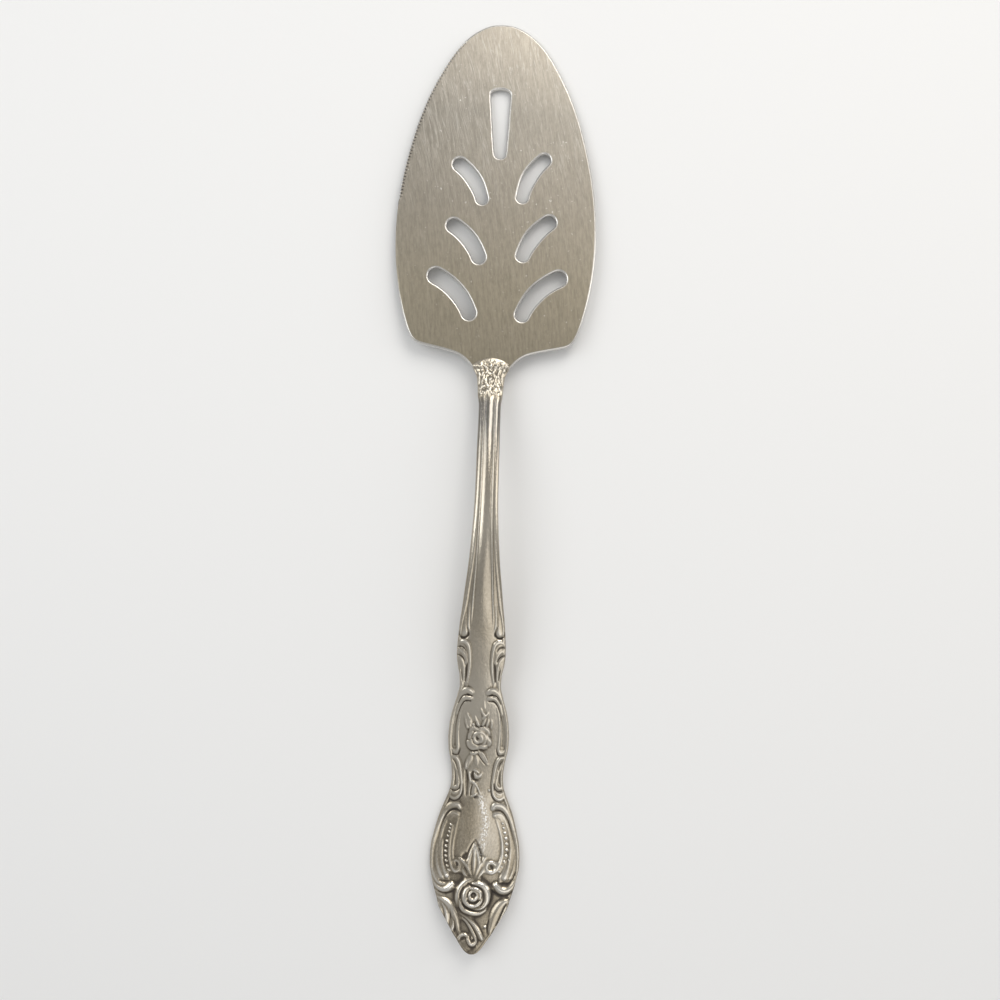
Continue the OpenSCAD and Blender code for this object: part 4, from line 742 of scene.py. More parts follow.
# Points across the underside as shares of its half width
FLAT_AT = (0.6, 0.2, -0.2, -0.6)


def side_wall(side, top):
    """Points (x, z) of every cross-section from the top edge down to the underside."""
    return [(half * side, low + (top - low) * WALL_SHARE), (half * side, low + WALL_LOW),
            (face_half * side, low + WALL_LOWEST), ((half - edge) * side, low)]


def handle_mesh():
    """Closed height field with rounded lower edges."""
    ring = [(X[:, k], Z[:, k]) for k in range(X.shape[1])]
    ring += side_wall(1, Z[:, -1])
    ring += [((half - edge) * share, low) for share in FLAT_AT]
    ring += side_wall(-1, Z[:, 0])[::-1]
    n, rows = len(ring), len(stations)
    rx = np.stack([x for x, _ in ring], 1)
    rz = np.stack([z for _, z in ring], 1)
    ry = np.repeat((HALF - stations)[:, None], n, 1)
    co = np.stack([rx, ry, rz], -1).reshape(-1, 3)
    i, j = np.meshgrid(np.arange(rows - 1), np.arange(n), indexing="ij")
    a = i * n + j
    b = i * n + (j + 1) % n
    quads = np.stack([a, a + n, b + n, b], -1).reshape(-1, 4).tolist()
    caps = [list(range(n)), list(range((rows - 1) * n + n - 1, (rows - 1) * n - 1, -1))]
    return co, quads + caps


# Blade: steps along its plain edge, and where the right side stops short of the tip
TIP_STEP = 0.9
EDGE_STEP = 0.7
TIP_GAP = 0.8
EDGE_PATH = curve(BLADE_HALF, PATH_STEPS)
EDGE_RUN = np.concatenate([[0], np.cumsum(np.linalg.norm(np.diff(EDGE_PATH, axis=0), axis=1))])
EDGE_END = EDGE_RUN[-1]


def edge_at(d):
    """Point (half width, station) at a distance along the edge from the tip."""
    return np.array([np.interp(d, EDGE_RUN, EDGE_PATH[:, 0]), np.interp(d, EDGE_RUN, EDGE_PATH[:, 1])])


def edge_inward(d):
    v = edge_at(d + 0.05) - edge_at(max(d - 0.05, 0))
    v /= np.linalg.norm(v)
    return np.array([-v[1], v[0]])


def tooth_sharpness(d):
    """How deep a tooth at a place along the edge is, from 1 for a full one to 0."""
    return 1 - rise(d, TOOTH_FADE)


def tooth_places(share):
    """Places along the edge at a share of the pitch of every tooth that shows."""
    places = TOOTH_FROM + TOOTH_PITCH * (share + np.arange(TOOTH_COUNT))
    return places[tooth_sharpness(places) > TOOTH_LEAST]


def tooth_points(share, deep):
    """The same point (x, y) of every tooth that shows, at a depth from the outline."""
    return np.array([-(edge_at(d) + edge_inward(d) * deep * tooth_sharpness(d))
                     for d in tooth_places(share)])


def edge_places():
    """Places once around the edge as (distance, side, depth, size of the polished edge)."""
    places = [(d, -1, 0.0, 1.0) for d in np.arange(0.0, TOOTH_FROM, TIP_STEP)]
    for k in range(TOOTH_COUNT):
        start = TOOTH_FROM + k * TOOTH_PITCH
        sharp = tooth_sharpness(start)
        places += [(start + share * TOOTH_PITCH, -1, deep * sharp, 1 + (roll - 1) * sharp)
                   for share, deep, roll in TOOTH]
    plain = TOOTH_FROM + TOOTH_COUNT * TOOTH_PITCH
    places += [(d, -1, 0.0, 1.0) for d in np.linspace(plain, EDGE_END, int((EDGE_END - plain) / EDGE_STEP))]
    places += [(d, 1, 0.0, 1.0) for d in np.linspace(EDGE_END, TIP_GAP, int(EDGE_END / EDGE_STEP))]
    return places


def outer_ring():
    """Outline, the way in and the size of the polished edge, all as seen from above, with y = -s."""
    pts, ins, rolls = [], [], []
    for d, side, deep, roll in edge_places():
        n = edge_inward(d)
        q = edge_at(d) + n * deep
        pts.append((q[0] * side, -q[1]))
        ins.append((n[0] * side, -n[1]))
        rolls.append([roll])
    return np.array(pts), np.array(ins), np.array(rolls)


def tip_slot():
    """Straight slot: half of it from the rounded top corner to the rounded lower one, then mirrored."""
    station, length, h1, h2 = TIP_SLOT
    top, lowest = -station, -station - length
    half_line = curve([
        (0, top), (h1 * 0.5, top - 0.2), (h1 * 0.86, top - 0.75), (h1, top - 1.7),
        (h1 + (h2 - h1) * 0.3, top - length * 0.35), (h1 + (h2 - h1) * 0.68, top - length * 0.68),
        (h2, lowest + 2.2), (h2 * 0.86, lowest + 0.85), (h2 * 0.5, lowest + 0.15), (0, lowest)], 5)
    ring = np.array(list(half_line) + [(-x, y) for x, y in half_line[-2:0:-1]])
    ring[:, 0] += TIP_SLOT_LEAN * (top - ring[:, 1]) / length
    return ring


SLOT_STEPS = 20
SLOT_END_STEPS = 14


def bent_slot(start, end, bow, r_start, r_mid, r_end):
    """Slot along a bowed middle line, with round ends."""
    a = np.array([start[0], -start[1]])
    b = np.array([end[0], -end[1]])
    d = (b - a) / np.linalg.norm(b - a)
    up = np.array([-d[1], d[0]]) if a[0] < 0 else np.array([d[1], -d[0]])

    def mid(t):
        return a + (b - a) * t + up * bow * 4 * t * (1 - t)

    def wide(t):
        if t < 0.5:
            return r_start + (r_mid - r_start) * smooth(2 * t)
        return r_mid + (r_end - r_mid) * smooth(2 * t - 1)

    def off(t, degrees):
        """Point at the half width from the middle line, at an angle to its run."""
        v = mid(t + 0.01) - mid(t - 0.01)
        v = v / np.linalg.norm(v)
        c, s = math.cos(math.radians(degrees)), math.sin(math.radians(degrees))
        return mid(t) + np.array([v[0] * c - v[1] * s, v[0] * s + v[1] * c]) * wide(t)

    ring = [off(k / SLOT_STEPS, 90) for k in range(SLOT_STEPS + 1)]
    ring += [off(1, 90 - 180 * k / SLOT_END_STEPS) for k in range(1, SLOT_END_STEPS)]
    ring += [off(k / SLOT_STEPS, -90) for k in range(SLOT_STEPS, -1, -1)]
    ring += [off(0, -90 - 180 * k / SLOT_END_STEPS) for k in range(1, SLOT_END_STEPS)]
    return np.array(ring)


def slots():
    return [tip_slot()] + [bent_slot(*row) for row in BENT_SLOTS]


def signed_area(p):
    x, y = p[:, 0], p[:, 1]
    return 0.5 * float(np.sum(x * np.roll(y, -1) - y * np.roll(x, -1)))


def slot_inward(p):
    """Way out of the hole into the sheet at each point of a clockwise ring."""
    v = np.roll(p, -1, 0) - np.roll(p, 1, 0)
    v /= np.linalg.norm(v, axis=1)[:, None]
    return np.stack([-v[:, 1], v[:, 0]], -1)


# Rounding under the sheet, and the polished upper edge as (way in, drop below the face)
LOW_ROLL = 0.12
LOW_PROFILE = [(LOW_ROLL, 0.0), (LOW_ROLL * 0.3, LOW_ROLL * 0.3), (0.0, LOW_ROLL)]
TOP_PROFILE = [(0.0, 0.34), (0.04, 0.22), (0.15, 0.12), (0.28, 0.045), (0.42, 0.0), (0.6, 0.0)]
# Points inside the faces: spacing, the next row's share of it, and the least gap to an edge
GRID = 1.5
GRID_ROW = 0.87
GRID_GAP = 0.55
GRID_HALF = 28
GRID_END = 97.5


def rolled_edge(ring, inward, roll, co, faces):
    """Adds the rows of one edge from the underside up, and gives its lowest and highest rows."""
    base, count = len(co), len(ring)
    for way_in, z in LOW_PROFILE:
        co.extend(np.column_stack([ring + inward * way_in, np.full(count, z)]).tolist())
    for way_in, drop in TOP_PROFILE:
        co.extend(np.column_stack([ring + inward * (way_in * roll), BLADE_T - drop * roll[:, 0]]).tolist())
    rows = len(LOW_PROFILE) + len(TOP_PROFILE)
    for k in range(rows - 1):
        for i in range(count):
            a, b = base + k * count + i, base + k * count + (i + 1) % count
            faces.append([a, b, b + count, a + count])
    top = base + (rows - 1) * count
    return list(range(base, base + count)), list(range(top, top + count))


def inside(points, ring):
    """Which points lie within a closed outline, by the even-odd rule."""
    ax, ay = ring.T
    bx, by = np.roll(ring, -1, 0).T
    x, y = points[:, :1], points[:, 1:]
    climb = np.where(by == ay, 1e-9, by - ay)
    crossed = ((ay > y) != (by > y)) & (x < (bx - ax) * (y - ay) / climb + ax)
    return crossed.sum(1) % 2 == 1


def in_sheet(points, rings):
    """Which points lie within the first ring and in none of the others."""
    keep = inside(points, rings[0])
    for hole in rings[1:]:
        keep &= ~inside(points, hole)
    return keep


def grid_points(rings):
    """Even grid over the sheet, clear of its edges."""
    across = np.arange(-GRID_HALF, GRID_HALF + 0.1, GRID)
    gx, gy = np.meshgrid(across, np.arange(-GRID_END, 0, GRID * GRID_ROW))
    gx[::2] += GRID / 2
    points = np.stack([gx.ravel(), gy.ravel()], -1)
    keep = in_sheet(points, rings)
    for ring in rings:
        gap = np.sqrt(((points[:, None] - ring[None]) ** 2).sum(-1)).min(1)
        keep &= gap > GRID_GAP * GRID
    return points[keep]


def fill_face(loops, z, flip, co, faces):
    """Fills one face of the sheet between its rows of edge points."""
    ids = [i for loop in loops for i in loop]
    rings = [np.array([co[i][:2] for i in loop]) for loop in loops]
    edges, start = [], 0
    for loop in loops:
        edges += [(start + k, start + (k + 1) % len(loop)) for k in range(len(loop))]
        start += len(loop)
    spots = [co[i][:2] for i in ids] + grid_points(rings).tolist()
    verts, _, tris, origins, _, _ = delaunay_2d_cdt([Vector(p) for p in spots], edges, [], 2, 1e-6)
    index = []
    for vert, olds in zip(verts, origins):
        if olds and olds[0] < len(ids):
            index.append(ids[olds[0]])
        else:
            index.append(len(co))
            co.append([vert.x, vert.y, z])
    flat = np.array([tuple(v) for v in verts])
    keep = in_sheet(np.array([flat[list(tri)].mean(0) for tri in tris]), rings)
    for tri in np.nonzero(keep)[0]:
        face = [index[k] for k in tris[tri]]
        faces.append(face[::-1] if flip else face)


def blade_mesh():
    """Flat sheet with rolled edges and slots, then turned to the blade's tilt."""
    outer, inward, roll = outer_ring()
    if signed_area(outer) < 0:
        outer, inward, roll = outer[::-1], inward[::-1], roll[::-1]
    rings = [(outer, inward, roll)]
    for hole in slots():
        hole = hole[::-1] if signed_area(hole) > 0 else hole
        rings.append((hole, slot_inward(hole), np.ones((len(hole), 1))))
    co, faces = [], []
    lowest, highest = zip(*[rolled_edge(*ring, co, faces) for ring in rings])
    fill_face(highest, BLADE_T, False, co, faces)
    fill_face(lowest, 0.0, True, co, faces)
    x, y, z = np.array(co).T
    c, s = math.cos(BLADE_TILT), math.sin(BLADE_TILT)
    co = np.stack([x, y * c + z * s + HALF - BLADE_T * s, z * c - y * s], -1)
    return np.clip(co, np.array(CAD_BOX[0]) / MM, np.array(CAD_BOX[1]) / MM), faces


def make_object(name, co, faces):
    mesh = bpy.data.meshes.new(name)
    mesh.from_pydata((np.asarray(co) * MM).tolist(), [], faces)
    mesh.validate()
    bm = bmesh.new()
    bm.from_mesh(mesh)
    bmesh.ops.recalc_face_normals(bm, faces=bm.faces)
    bm.to_mesh(mesh)
    bm.free()
    ob = bpy.data.objects.new(name, mesh)
    bpy.context.scene.collection.objects.link(ob)
    return ob


def unite(base, other):
    """Joins another object to base as one closed solid, and removes it."""
    mod = base.modifiers.new("join", "BOOLEAN")
    mod.operation = "UNION"
    mod.solver = "MANIFOLD"
    mod.object = other
    graph = bpy.context.evaluated_depsgraph_get()
    joined = bpy.data.meshes.new_from_object(base.evaluated_get(graph))
    base.modifiers.clear()
    base.data = joined
    bpy.data.objects.remove(other)


handle = make_object("server_handle_part", *handle_mesh())
server = make_object("server", *blade_mesh())
unite(server, handle)

# Where each point lies: its station, and its place in the grid of the handle
mesh = server.data
points = len(mesh.vertices)
pos = np.empty(points * 3)
mesh.vertices.foreach_get("co", pos)
pos = pos.reshape(-1, 3) / MM
at_x, at_s, at_z = pos[:, 0], HALF - pos[:, 1], pos[:, 2]
row = np.interp(at_s, stations, np.arange(len(stations)))
col = (at_x / np.interp(at_s, stations, face_half) + 1) / 2 * (X.shape[1] - 1)
col = np.clip(col, 0, X.shape[1] - 1)
r0, c0 = np.floor(row).astype(int), np.floor(col).astype(int)
r1, c1 = np.minimum(r0 + 1, X.shape[0] - 1), np.minimum(c0 + 1, X.shape[1] - 1)
fr, fc = row - r0, col - c0


def write_value(name, values):
    att = mesh.attributes.new(name, "FLOAT", "POINT")
    att.data.foreach_set("value", values.astype(np.float32))


def sample(grid):
    return ((grid[r0, c0] * (1 - fr) + grid[r1, c0] * fr) * (1 - fc)
            + (grid[r0, c1] * (1 - fr) + grid[r1, c1] * fr) * fc)


# Tarnish and painted shade: 0.5 is plain ground, hollows have more and crests less
TOP_SKIN = 0.25
HOLLOW_SPAN = 0.22
# Painted reflection across the broad panel, paler to the right
PANEL_FROM = (214, 219)
PANEL_TO = (238, 243)
PANEL_HALF = 9
PANEL_PAINTED_REFLECTION = 0.07
PANEL_TURN = 1.5
# Darker over the broad end and in the lobe of the tip, and painted light on the left scroll and its leaves
END_DARKER = 0.06
END_DARKER_SPAN = (237, 242)
TIP_LOBE_DARKER = 0.06
TIP_LOBE_DARKER_SPAN = (255, 257)
TIP_LOBE_X = -0.8
TIP_LOBE_HALF = 2.2
LEFT_PAINTED_LIGHT = 0.12
LEFT_LIGHT_SIDE = (4.6, 7.1)
LEFT_LIGHT_FROM = (236, 239)
LEFT_LIGHT_TO = (253, 256)
# The collar has less contrast
COLLAR_END = 105.5
COLLAR_TONE = 0.6
# How rubbed the metal is by station, with painted light where the arch gets too little light, except in
# hollows, and painted shade over the stem's shine
WORN_LIT_AT = ((94, 104, 107, 125, 140, 155, 170, 190, 212, 222),
             (0.5, 0.5, 0.0, 0.1, 0.85, 0.1, 0.2, 1.0, 0.4, 0.0))
WORN_LIT_UP_TO = (0.53, 0.65)
STEM_SHADE_AT = ((105, 107, 113, 125, 140, 155, 170), (0.0, 0.8, 0.8, 0.25, 0.0, 0.2, 0.0))

on_top = (at_s > HANDLE_S) & (at_z > sample(Z) - TOP_SKIN)


def tarnish_and_painted_light():
    """Tarnish at each point from 0 to 1, with painted shade in the hollows and painted light and shade on
    the broad end.
    """
    # Patina with painted shade in the hollows
    deep = np.where(on_top, np.clip(sample(hollow) / HOLLOW_SPAN, -1, 1) * 0.5 + 0.5, 0.5)
    on_panel = rise(at_s, PANEL_FROM) * (1 - rise(at_s, PANEL_TO)) * (np.abs(at_x) < PANEL_HALF)
    # Painted reflection: the broad panel paler to the right and darker to the left
    deep -= PANEL_PAINTED_REFLECTION * on_panel * np.tanh(at_x / PANEL_TURN)
    # Painted light on the left scroll, whose left-facing slopes get less light
    left_light = rise(-at_x, LEFT_LIGHT_SIDE) * rise(at_s, LEFT_LIGHT_FROM) * (1 - rise(at_s, LEFT_LIGHT_TO))
    in_lobe = np.abs(at_x - TIP_LOBE_X) < TIP_LOBE_HALF
    # Darker over the broad end, and lighter on the left scroll by painted light
    deep += END_DARKER * rise(at_s, END_DARKER_SPAN) - LEFT_PAINTED_LIGHT * left_light
    # Darker in the lobe of the tip
    deep += TIP_LOBE_DARKER * rise(at_s, TIP_LOBE_DARKER_SPAN) * in_lobe
    deep = np.where(at_s < COLLAR_END, 0.5 + COLLAR_TONE * (deep - 0.5), deep)
    return np.where(at_s > HANDLE_S, deep, 0.5)


deep = tarnish_and_painted_light()
write_value("recess", deep)
# Wear and painted light by station, kept out of the hollows
write_value("wear_and_painted_light", np.interp(at_s, *WORN_LIT_AT) * (1 - rise(deep, WORN_LIT_UP_TO)))
# Painted shade over the stem, where the lamps' reflection is too bright
write_value("stem_painted_shade", np.interp(at_s, *STEM_SHADE_AT))

# Polished edges of the blade with a painted highlight. Along the teeth, between two stations, only the
# crests get it
TOOTH_STATIONS = (5.0, 52.0)
CREST_HIGHLIGHT_REACH = 0.34
NOTCH_REACH = 0.34
NOTCH_LEAST = 0.4
RIM_REACH = 0.5
# The painted highlight is weaker on the left edge after the teeth, and grows between these two stations
RIM_DIM = 0.3
RIM_WAKES = (68.0, 88.0)
SHEET_END = 98
PARTS = 40


def nearness(spots, reach):
    """How near each point of the blade is to some spots, from 1 on them to 0 at their reach."""
    x, y = spots[:, 0], spots[:, 1] * math.cos(BLADE_TILT) + HALF
    near = np.zeros(points)
    for part in np.array_split(np.nonzero(at_s < SHEET_END)[0], PARTS):
        gap = np.hypot(pos[part, None, 0] - x[None, :], pos[part, None, 1] - y[None, :])
        near[part] = np.clip(1 - gap / reach[None, :], 0, 1).max(1)
    return near


def write_rim():
    outline = outer_ring()[0]
    left, station = outline[:, 0] < 0, -outline[:, 1]
    toothed = left & (station > TOOTH_STATIONS[0]) & (station < TOOTH_STATIONS[1])
    wakes = np.where(left & (station >= TOOTH_STATIONS[0]), rise(station, RIM_WAKES), 1.0)
    plain_reach = RIM_REACH * (RIM_DIM + (1 - RIM_DIM) * wakes[~toothed])
    crests = tooth_points(0.0, 0.0)
    holes = np.vstack(slots())
    reach = [plain_reach, np.full(len(crests), CREST_HIGHLIGHT_REACH), np.full(len(holes), RIM_REACH)]
    write_value("rim", nearness(np.vstack([outline[~toothed], crests, holes]), np.concatenate(reach)))


# Painted shade in the notches between the teeth
def write_notches():
    sharp = tooth_sharpness(tooth_places(NOTCH_AT))
    reach = NOTCH_REACH * (NOTCH_LEAST + (1 - NOTCH_LEAST) * sharp)
    write_value("notch", nearness(tooth_points(NOTCH_AT, TOOTH_DEPTH), reach))


write_rim()
write_notches()

# Painted glints: white scratch specks in a loose streak down the broad panel
STREAK_AT = ((214, 219, 224, 228, 234), (0.8, 1.6, 2.9, 2.4, 1.7))
STREAK_W = 0.9
STREAK_FROM = (215, 218)
STREAK_TO = (229, 235)
streak = np.exp(-((at_x - np.interp(at_s, *STREAK_AT)) / STREAK_W) ** 2)
streak = streak * rise(at_s, STREAK_FROM) * (1 - rise(at_s, STREAK_TO))
write_value("painted_glints", np.where(on_top, streak, 0.0))

# Which faces belong to the handle: those over the sheet, and all beyond it
HANDLE_FROM = 94.25
HANDLE_ALL = 97.3
SIDE_SPARE = 0.15
TOP_SPARE = 0.05
over_sheet = (np.abs(at_x) < np.interp(at_s, stations, half, left=0) + SIDE_SPARE) \
    & (at_z > at_s * TILT_SLOPE + BLADE_T + TOP_SPARE)
is_handle = (at_s > HANDLE_FROM) & over_sheet | (at_s > HANDLE_ALL)
polys = len(mesh.polygons)
loop_start = np.empty(polys, int)
loop_total = np.empty(polys, int)
mesh.polygons.foreach_get("loop_start", loop_start)
mesh.polygons.foreach_get("loop_total", loop_total)
corner = np.empty(len(mesh.loops), int)
mesh.loops.foreach_get("vertex_index", corner)
handle_share = np.add.reduceat(is_handle[corner].astype(float), loop_start) / loop_total

# Colours
BLADE_DARK = (0.332, 0.3, 0.25)
BLADE_LIGHT = (0.454, 0.413, 0.347)
BLADE_CLOUD = (0.373, 0.338, 0.283)
# Tone of the sheet from its tip to its root: warmer towards the root, and a painted reflection that makes
# the tip brighter
BLADE_TINT_AND_SHEEN = [
    (0.0, (1.0, 1.0, 1.0)), (0.26, (0.667, 0.679, 0.691)), (0.53, (0.653, 0.65, 0.637)),
    (0.8, (0.688, 0.67, 0.604)), (1.0, (0.666, 0.645, 0.573)),
]
BLADE_ROOT = 95
# Paler polish with a painted highlight, for the edges, scratches and specks
POLISH_AND_HIGHLIGHT_COLOUR = (0.74, 0.72, 0.68)
# Painted shade in the notches between the teeth
NOTCH_SHADE_COLOUR = (0.17, 0.155, 0.135)
# From worn crests to black hollows: patina, with painted shade at its darkest
PATINA_AND_SHADE = [
    (0.0, (0.823, 0.792, 0.736)), (0.3, (0.655, 0.612, 0.531)), (0.48, (0.441, 0.388, 0.304)),
    (0.58, (0.316, 0.273, 0.204)), (0.72, (0.092, 0.076, 0.058)), (1.0, (0.027, 0.021, 0.016)),
]
# Paler metal for wear and for painted light
WORN_LIT_COLOUR = (0.61, 0.56, 0.47)
WORN_LIT_MOST = 0.8
# Painted shade for the stem
STEM_SHADE_COLOUR = (0.225, 0.215, 0.2)
# White of the painted glints
PAINTED_GLINT_COLOUR = (0.916, 0.891, 0.835)
FLOOR = (0.84, 0.835, 0.82)


class Material:
    """A material with short ways to add the few kinds of nodes that this scene uses."""

    def __init__(self, name):
        self.data = bpy.data.materials.new(name)
        self.data.use_nodes = True
        self.tree = self.data.node_tree
        self.tree.nodes.clear()
        out = self.node("OutputMaterial")
        self.shader = self.node("BsdfPrincipled")
        self.feed(self.shader.outputs["BSDF"], out.inputs["Surface"])

    def node(self, kind):
        return self.tree.nodes.new("ShaderNode" + kind)

    def feed(self, value, socket):
        """Links a socket to an output, or sets it to a colour or a number."""
        if isinstance(value, bpy.types.NodeSocket):
            self.tree.links.new(value, socket)
        elif isinstance(value, tuple):
            socket.default_value = (*value, 1)
        else:
            socket.default_value = value

    def shade(self, name, value):
        self.feed(value, self.shader.inputs[name])

    def noise(self, scale, detail, rough, turn=0):
        """Noise by scale per millimetre along x, y and z, turned about Z by degrees."""
        place = self.node("TexCoord")
        mapping = self.node("Mapping")
        mapping.vector_type = "TEXTURE"
        mapping.inputs["Rotation"].default_value = (0, 0, math.radians(turn))
        mapping.inputs["Scale"].default_value = tuple(MM / k for k in scale)
        self.feed(place.outputs["Object"], mapping.inputs["Vector"])
        noise = self.node("TexNoise")
        for name, value in (("Scale", 1.0), ("Detail", detail), ("Roughness", rough)):
            self.feed(value, noise.inputs[name])
        self.feed(mapping.outputs["Vector"], noise.inputs["Vector"])
        return noise.outputs["Fac"]

    def ramp(self, value, stops):
        """Turns a value into a colour or a grey by stops (value, colour)."""
        node = self.node("ValToRGB")
        elements = node.color_ramp.elements
        while len(elements) < len(stops):
            elements.new(0.5)
        for element, (at, colour) in zip(elements, stops):
            element.position = at
            element.color = (*colour, 1) if isinstance(colour, tuple) else (colour, colour, colour, 1)
        self.feed(value, node.inputs["Fac"])
        return node.outputs["Color"]

    def calc(self, operation, a, b):
        node = self.node("Math")
        node.operation = operation
        self.feed(a, node.inputs[0])
        self.feed(b, node.inputs[1])
        return node.outputs["Value"]

    def plus(self, a, b):
        return self.calc("ADD", a, b)

    def minus(self, a, b):
        return self.calc("SUBTRACT", a, b)

    def times(self, a, b):
        return self.calc("MULTIPLY", a, b)

    def mix(self, share, a, b, blend="MIX"):
        node = self.node("Mix")
        node.data_type = "RGBA"
        node.blend_type = blend
        self.feed(share, node.inputs["Factor"])
        for name, value in (("A", a), ("B", b)):
            self.feed(value, [s for s in node.inputs if s.name == name and s.type == "RGBA"][0])
        return [s for s in node.outputs if s.type == "RGBA"][0]

    def bumps(self, *layers):
        """Adds bumps over one another, each as (height, strength, distance in millimetres)."""
        below = None
        for height, strength, distance in layers:
            node = self.node("Bump")
            node.inputs["Strength"].default_value = strength
            node.inputs["Distance"].default_value = distance * MM
            self.feed(height, node.inputs["Height"])
            if below is not None:
                self.feed(below, node.inputs["Normal"])
            below = node.outputs["Normal"]
        self.shade("Normal", below)

    def lengthwise(self, start, end):
        """Runs from 0 to 1 between two stations of the piece."""
        place = self.node("TexCoord")
        split = self.node("SeparateXYZ")
        self.feed(place.outputs["Object"], split.inputs[0])
        return self.calc("DIVIDE", self.minus((HALF - start) * MM, split.outputs["Y"]), (end - start) * MM)

    def attribute(self, name):
        node = self.node("Attribute")
        node.attribute_name = name
        return node.outputs["Fac"]


def scratches(m, scale, turn, at, half_width):
    """Long fine lines where a stretched noise passes one value."""
    noise = m.noise(scale, 1, 0.4, turn)
    return m.ramp(noise, [(0.0, 0.0), (at - half_width, 0.0), (at, 1.0), (at + half_width, 0.0), (1.0, 0.0)])


def steel_blade():
    """Satin sheet: lengthwise brushing, long fine scratches, specks, a polished rim with painted highlight,
    painted shade in the notches, and painted reflection along the sheet.
    """
    m = Material("satin_steel")
    brush = m.noise((1.7, 0.2, 1.0), 5, 0.7, turn=6)
    fine = m.noise((7.0, 0.3, 1.0), 3, 0.6, turn=6)
    cloudy = m.noise((0.06, 0.035, 0.05), 3, 0.55)
    grit = m.noise((1.3, 0.8, 1.0), 3, 0.65)
    along_blade = m.lengthwise(0, BLADE_ROOT)
    marks = m.calc("MAXIMUM", scratches(m, (1.5, 0.035, 1.0), 17, 0.5, 0.018),
                   scratches(m, (1.1, 0.03, 1.0), 11, 0.43, 0.015))
    marks = m.times(marks, m.ramp(along_blade, [(0.0, 1.0), (0.3, 0.9), (0.6, 0.25), (1.0, 0.1)]))
    specks = m.ramp(m.noise((1.3, 1.3, 1.3), 2, 0.6), [(0.0, 0.0), (0.71, 0.0), (0.76, 1.0)])
    rim = m.ramp(m.attribute("rim"), [(0.0, 0.0), (0.3, 0.8), (1.0, 1.0)])
    notch = m.ramp(m.attribute("notch"), [(0.0, 0.0), (0.35, 0.8), (1.0, 1.0)])
    tone = m.plus(m.times(brush, 0.7), m.times(grit, 0.3))
    base = m.ramp(tone, [(0.0, BLADE_DARK), (0.38, BLADE_DARK), (0.62, BLADE_LIGHT), (1.0, BLADE_LIGHT)])
    base = m.mix(m.times(cloudy, 0.3), base, BLADE_CLOUD)
    # Tint along the sheet, and painted reflection brighter at the tip
    base = m.mix(1.0, base, m.ramp(along_blade, BLADE_TINT_AND_SHEEN), "MULTIPLY")
    base = m.mix(m.times(marks, 0.2), base, POLISH_AND_HIGHLIGHT_COLOUR)
    base = m.mix(m.times(specks, 0.6), base, POLISH_AND_HIGHLIGHT_COLOUR)
    # Painted highlight along the polished edges and tooth crests
    base = m.mix(rim, base, POLISH_AND_HIGHLIGHT_COLOUR)
    # Painted shade in the notches
    m.shade("Base Color", m.mix(notch, base, NOTCH_SHADE_COLOUR))
    m.shade("Metallic", 1.0)
    rough = m.plus(m.plus(m.times(fine, 0.16), 0.28), m.times(cloudy, 0.08))
    m.shade("Roughness", m.minus(rough, m.times(rim, 0.16)))
    m.bumps((fine, 0.2, 0.04), (brush, 0.25, 0.06), (marks, 0.35, 0.03), (specks, 0.4, 0.04))
    return m.data


def steel_handle():
    """Polished metal: bright worn crests, warm ground, brown patina with painted shade in the grooves,
    painted light and shade by station, and painted glints.
    """
    m = Material("polished_steel")
    grain = m.noise((1.4, 1.4, 1.4), 4, 0.6)
    broad = m.noise((0.22, 0.12, 0.2), 3, 0.55)
    hair = m.noise((6.0, 0.5, 1.0), 3, 0.6, turn=5)
    scuff = m.noise((1.6, 0.9, 1.0), 3, 0.6)
    tone = m.plus(m.attribute("recess"), m.times(m.minus(grain, 0.5), 0.16))
    tone = m.plus(tone, m.times(m.minus(broad, 0.5), 0.12))
    painted_glint = m.ramp(m.noise((2.0, 1.6, 1.6), 2, 0.7), [(0.0, 0.0), (0.48, 0.0), (0.55, 1.0)])
    painted_glint = m.times(painted_glint, m.attribute("painted_glints"))
    dirt = m.ramp(tone, [(0.0, 0.0), (0.6, 0.0), (0.9, 1.0)])
    # Wear and painted light make the metal paler by station
    base = m.mix(m.times(m.attribute("wear_and_painted_light"), WORN_LIT_MOST), m.ramp(tone, PATINA_AND_SHADE), WORN_LIT_COLOUR)
    # Painted shade over the stem's shine
    base = m.mix(m.attribute("stem_painted_shade"), base, STEM_SHADE_COLOUR)
    # Painted glints: matte white specks along the streak
    m.shade("Base Color", m.mix(painted_glint, base, PAINTED_GLINT_COLOUR))
    m.shade("Metallic", m.minus(m.minus(1.0, m.times(dirt, 0.5)), m.times(painted_glint, 0.6)))
    m.shade("Roughness", m.plus(m.plus(0.15, m.times(hair, 0.12)), m.times(dirt, 0.35)))
    m.bumps((hair, 0.14, 0.03), (scuff, 0.5, 0.06), (painted_glint, 0.5, 0.03), (grain, 0.1, 0.04))
    return m.data


def pale_floor():
    m = Material("pale_floor")
    m.shade("Base Color", FLOOR)
    m.shade("Roughness", 0.85)
    m.shade("Specular IOR Level", 0.2)
    return m.data


SHARP_FROM = math.radians(50)
mesh.materials.clear()
mesh.materials.append(steel_blade())
mesh.materials.append(steel_handle())
mesh.polygons.foreach_set("material_index", (handle_share > 0.5).astype(np.int32))
mesh.polygons.foreach_set("use_smooth", np.ones(polys, bool))
mesh.set_sharp_from_angle(angle=SHARP_FROM)
mesh.update()
server.name = "pie_server_body"
print("server triangles", sum(loop_total - 2), "vertices", points)
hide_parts("pie_server")
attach(server, "root")

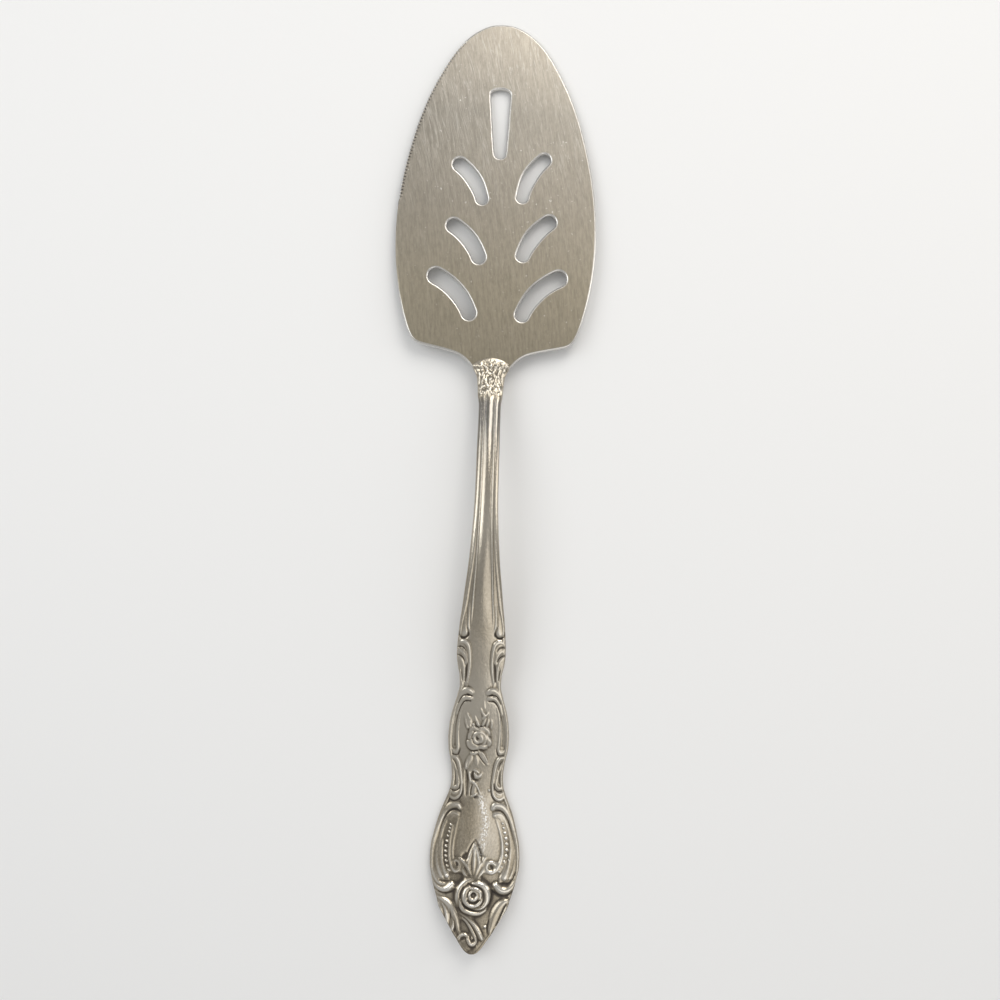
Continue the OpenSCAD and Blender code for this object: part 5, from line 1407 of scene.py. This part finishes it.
# Floor
bpy.ops.mesh.primitive_plane_add(size=3.0, location=(0, 0, 0))
floor = bpy.context.object
floor.name = "floor"
floor.data.materials.append(pale_floor())

# Camera straight above, as the photo was taken: height, focal length and frame in the photo's pixels
CAM_H = 330.0
CAM_X, CAM_Y = 3.69, -3.66
FOCAL_PX = 1168.04
FRAME_PX = 1000.0
ROLL = math.radians(1.957)
SENSOR = 36.0
cam_data = bpy.data.cameras.new("camera")
cam_data.sensor_fit = "HORIZONTAL"
cam_data.sensor_width = SENSOR
cam_data.lens = SENSOR * FOCAL_PX / FRAME_PX
cam_data.clip_start = 0.01
cam = bpy.data.objects.new("camera", cam_data)
cam.location = (CAM_X * MM, CAM_Y * MM, CAM_H * MM)
cam.rotation_euler = (0, 0, ROLL)
bpy.context.scene.collection.objects.link(cam)
bpy.context.scene.camera = cam

# Lights as name, place and target in metres, size, power and colour
LIGHTS = [
    ("key", (0.155, 0.42, 0.46), (0, 0.02, 0), (0.28, 0.4), 1.4, (1.0, 0.97, 0.93)),
    ("side", (0.62, 0.16, 0.34), (0, -0.02, 0), (0.2, 0.6), 0.75, (1.0, 0.98, 0.95)),
    ("fill", (-0.4, 0.15, 0.5), (0, 0, 0), (0.42, 0.42), 1.15, (0.96, 0.98, 1.0)),
    ("low", (0.19, -0.26, 0.5), (0.05, -0.09, 0), (0.3, 0.36), 0.32, (1.0, 0.98, 0.95)),
]
SKY = (0.97, 0.98, 1.0, 1)
SKY_STRENGTH = 0.5
for name, place, target, size, power, colour in LIGHTS:
    light = bpy.data.lights.new(name, "AREA")
    light.shape = "RECTANGLE"
    light.size, light.size_y = size
    light.energy = power
    light.color = colour
    lamp = bpy.data.objects.new(name, light)
    lamp.location = place
    lamp.rotation_euler = (Vector(target) - Vector(place)).to_track_quat("-Z", "Y").to_euler()
    bpy.context.scene.collection.objects.link(lamp)
world = bpy.data.worlds.new("world")
world.use_nodes = True
world.node_tree.nodes["Background"].inputs["Color"].default_value = SKY
world.node_tree.nodes["Background"].inputs["Strength"].default_value = SKY_STRENGTH
bpy.context.scene.world = world
bpy.context.scene.view_settings.view_transform = "Standard"
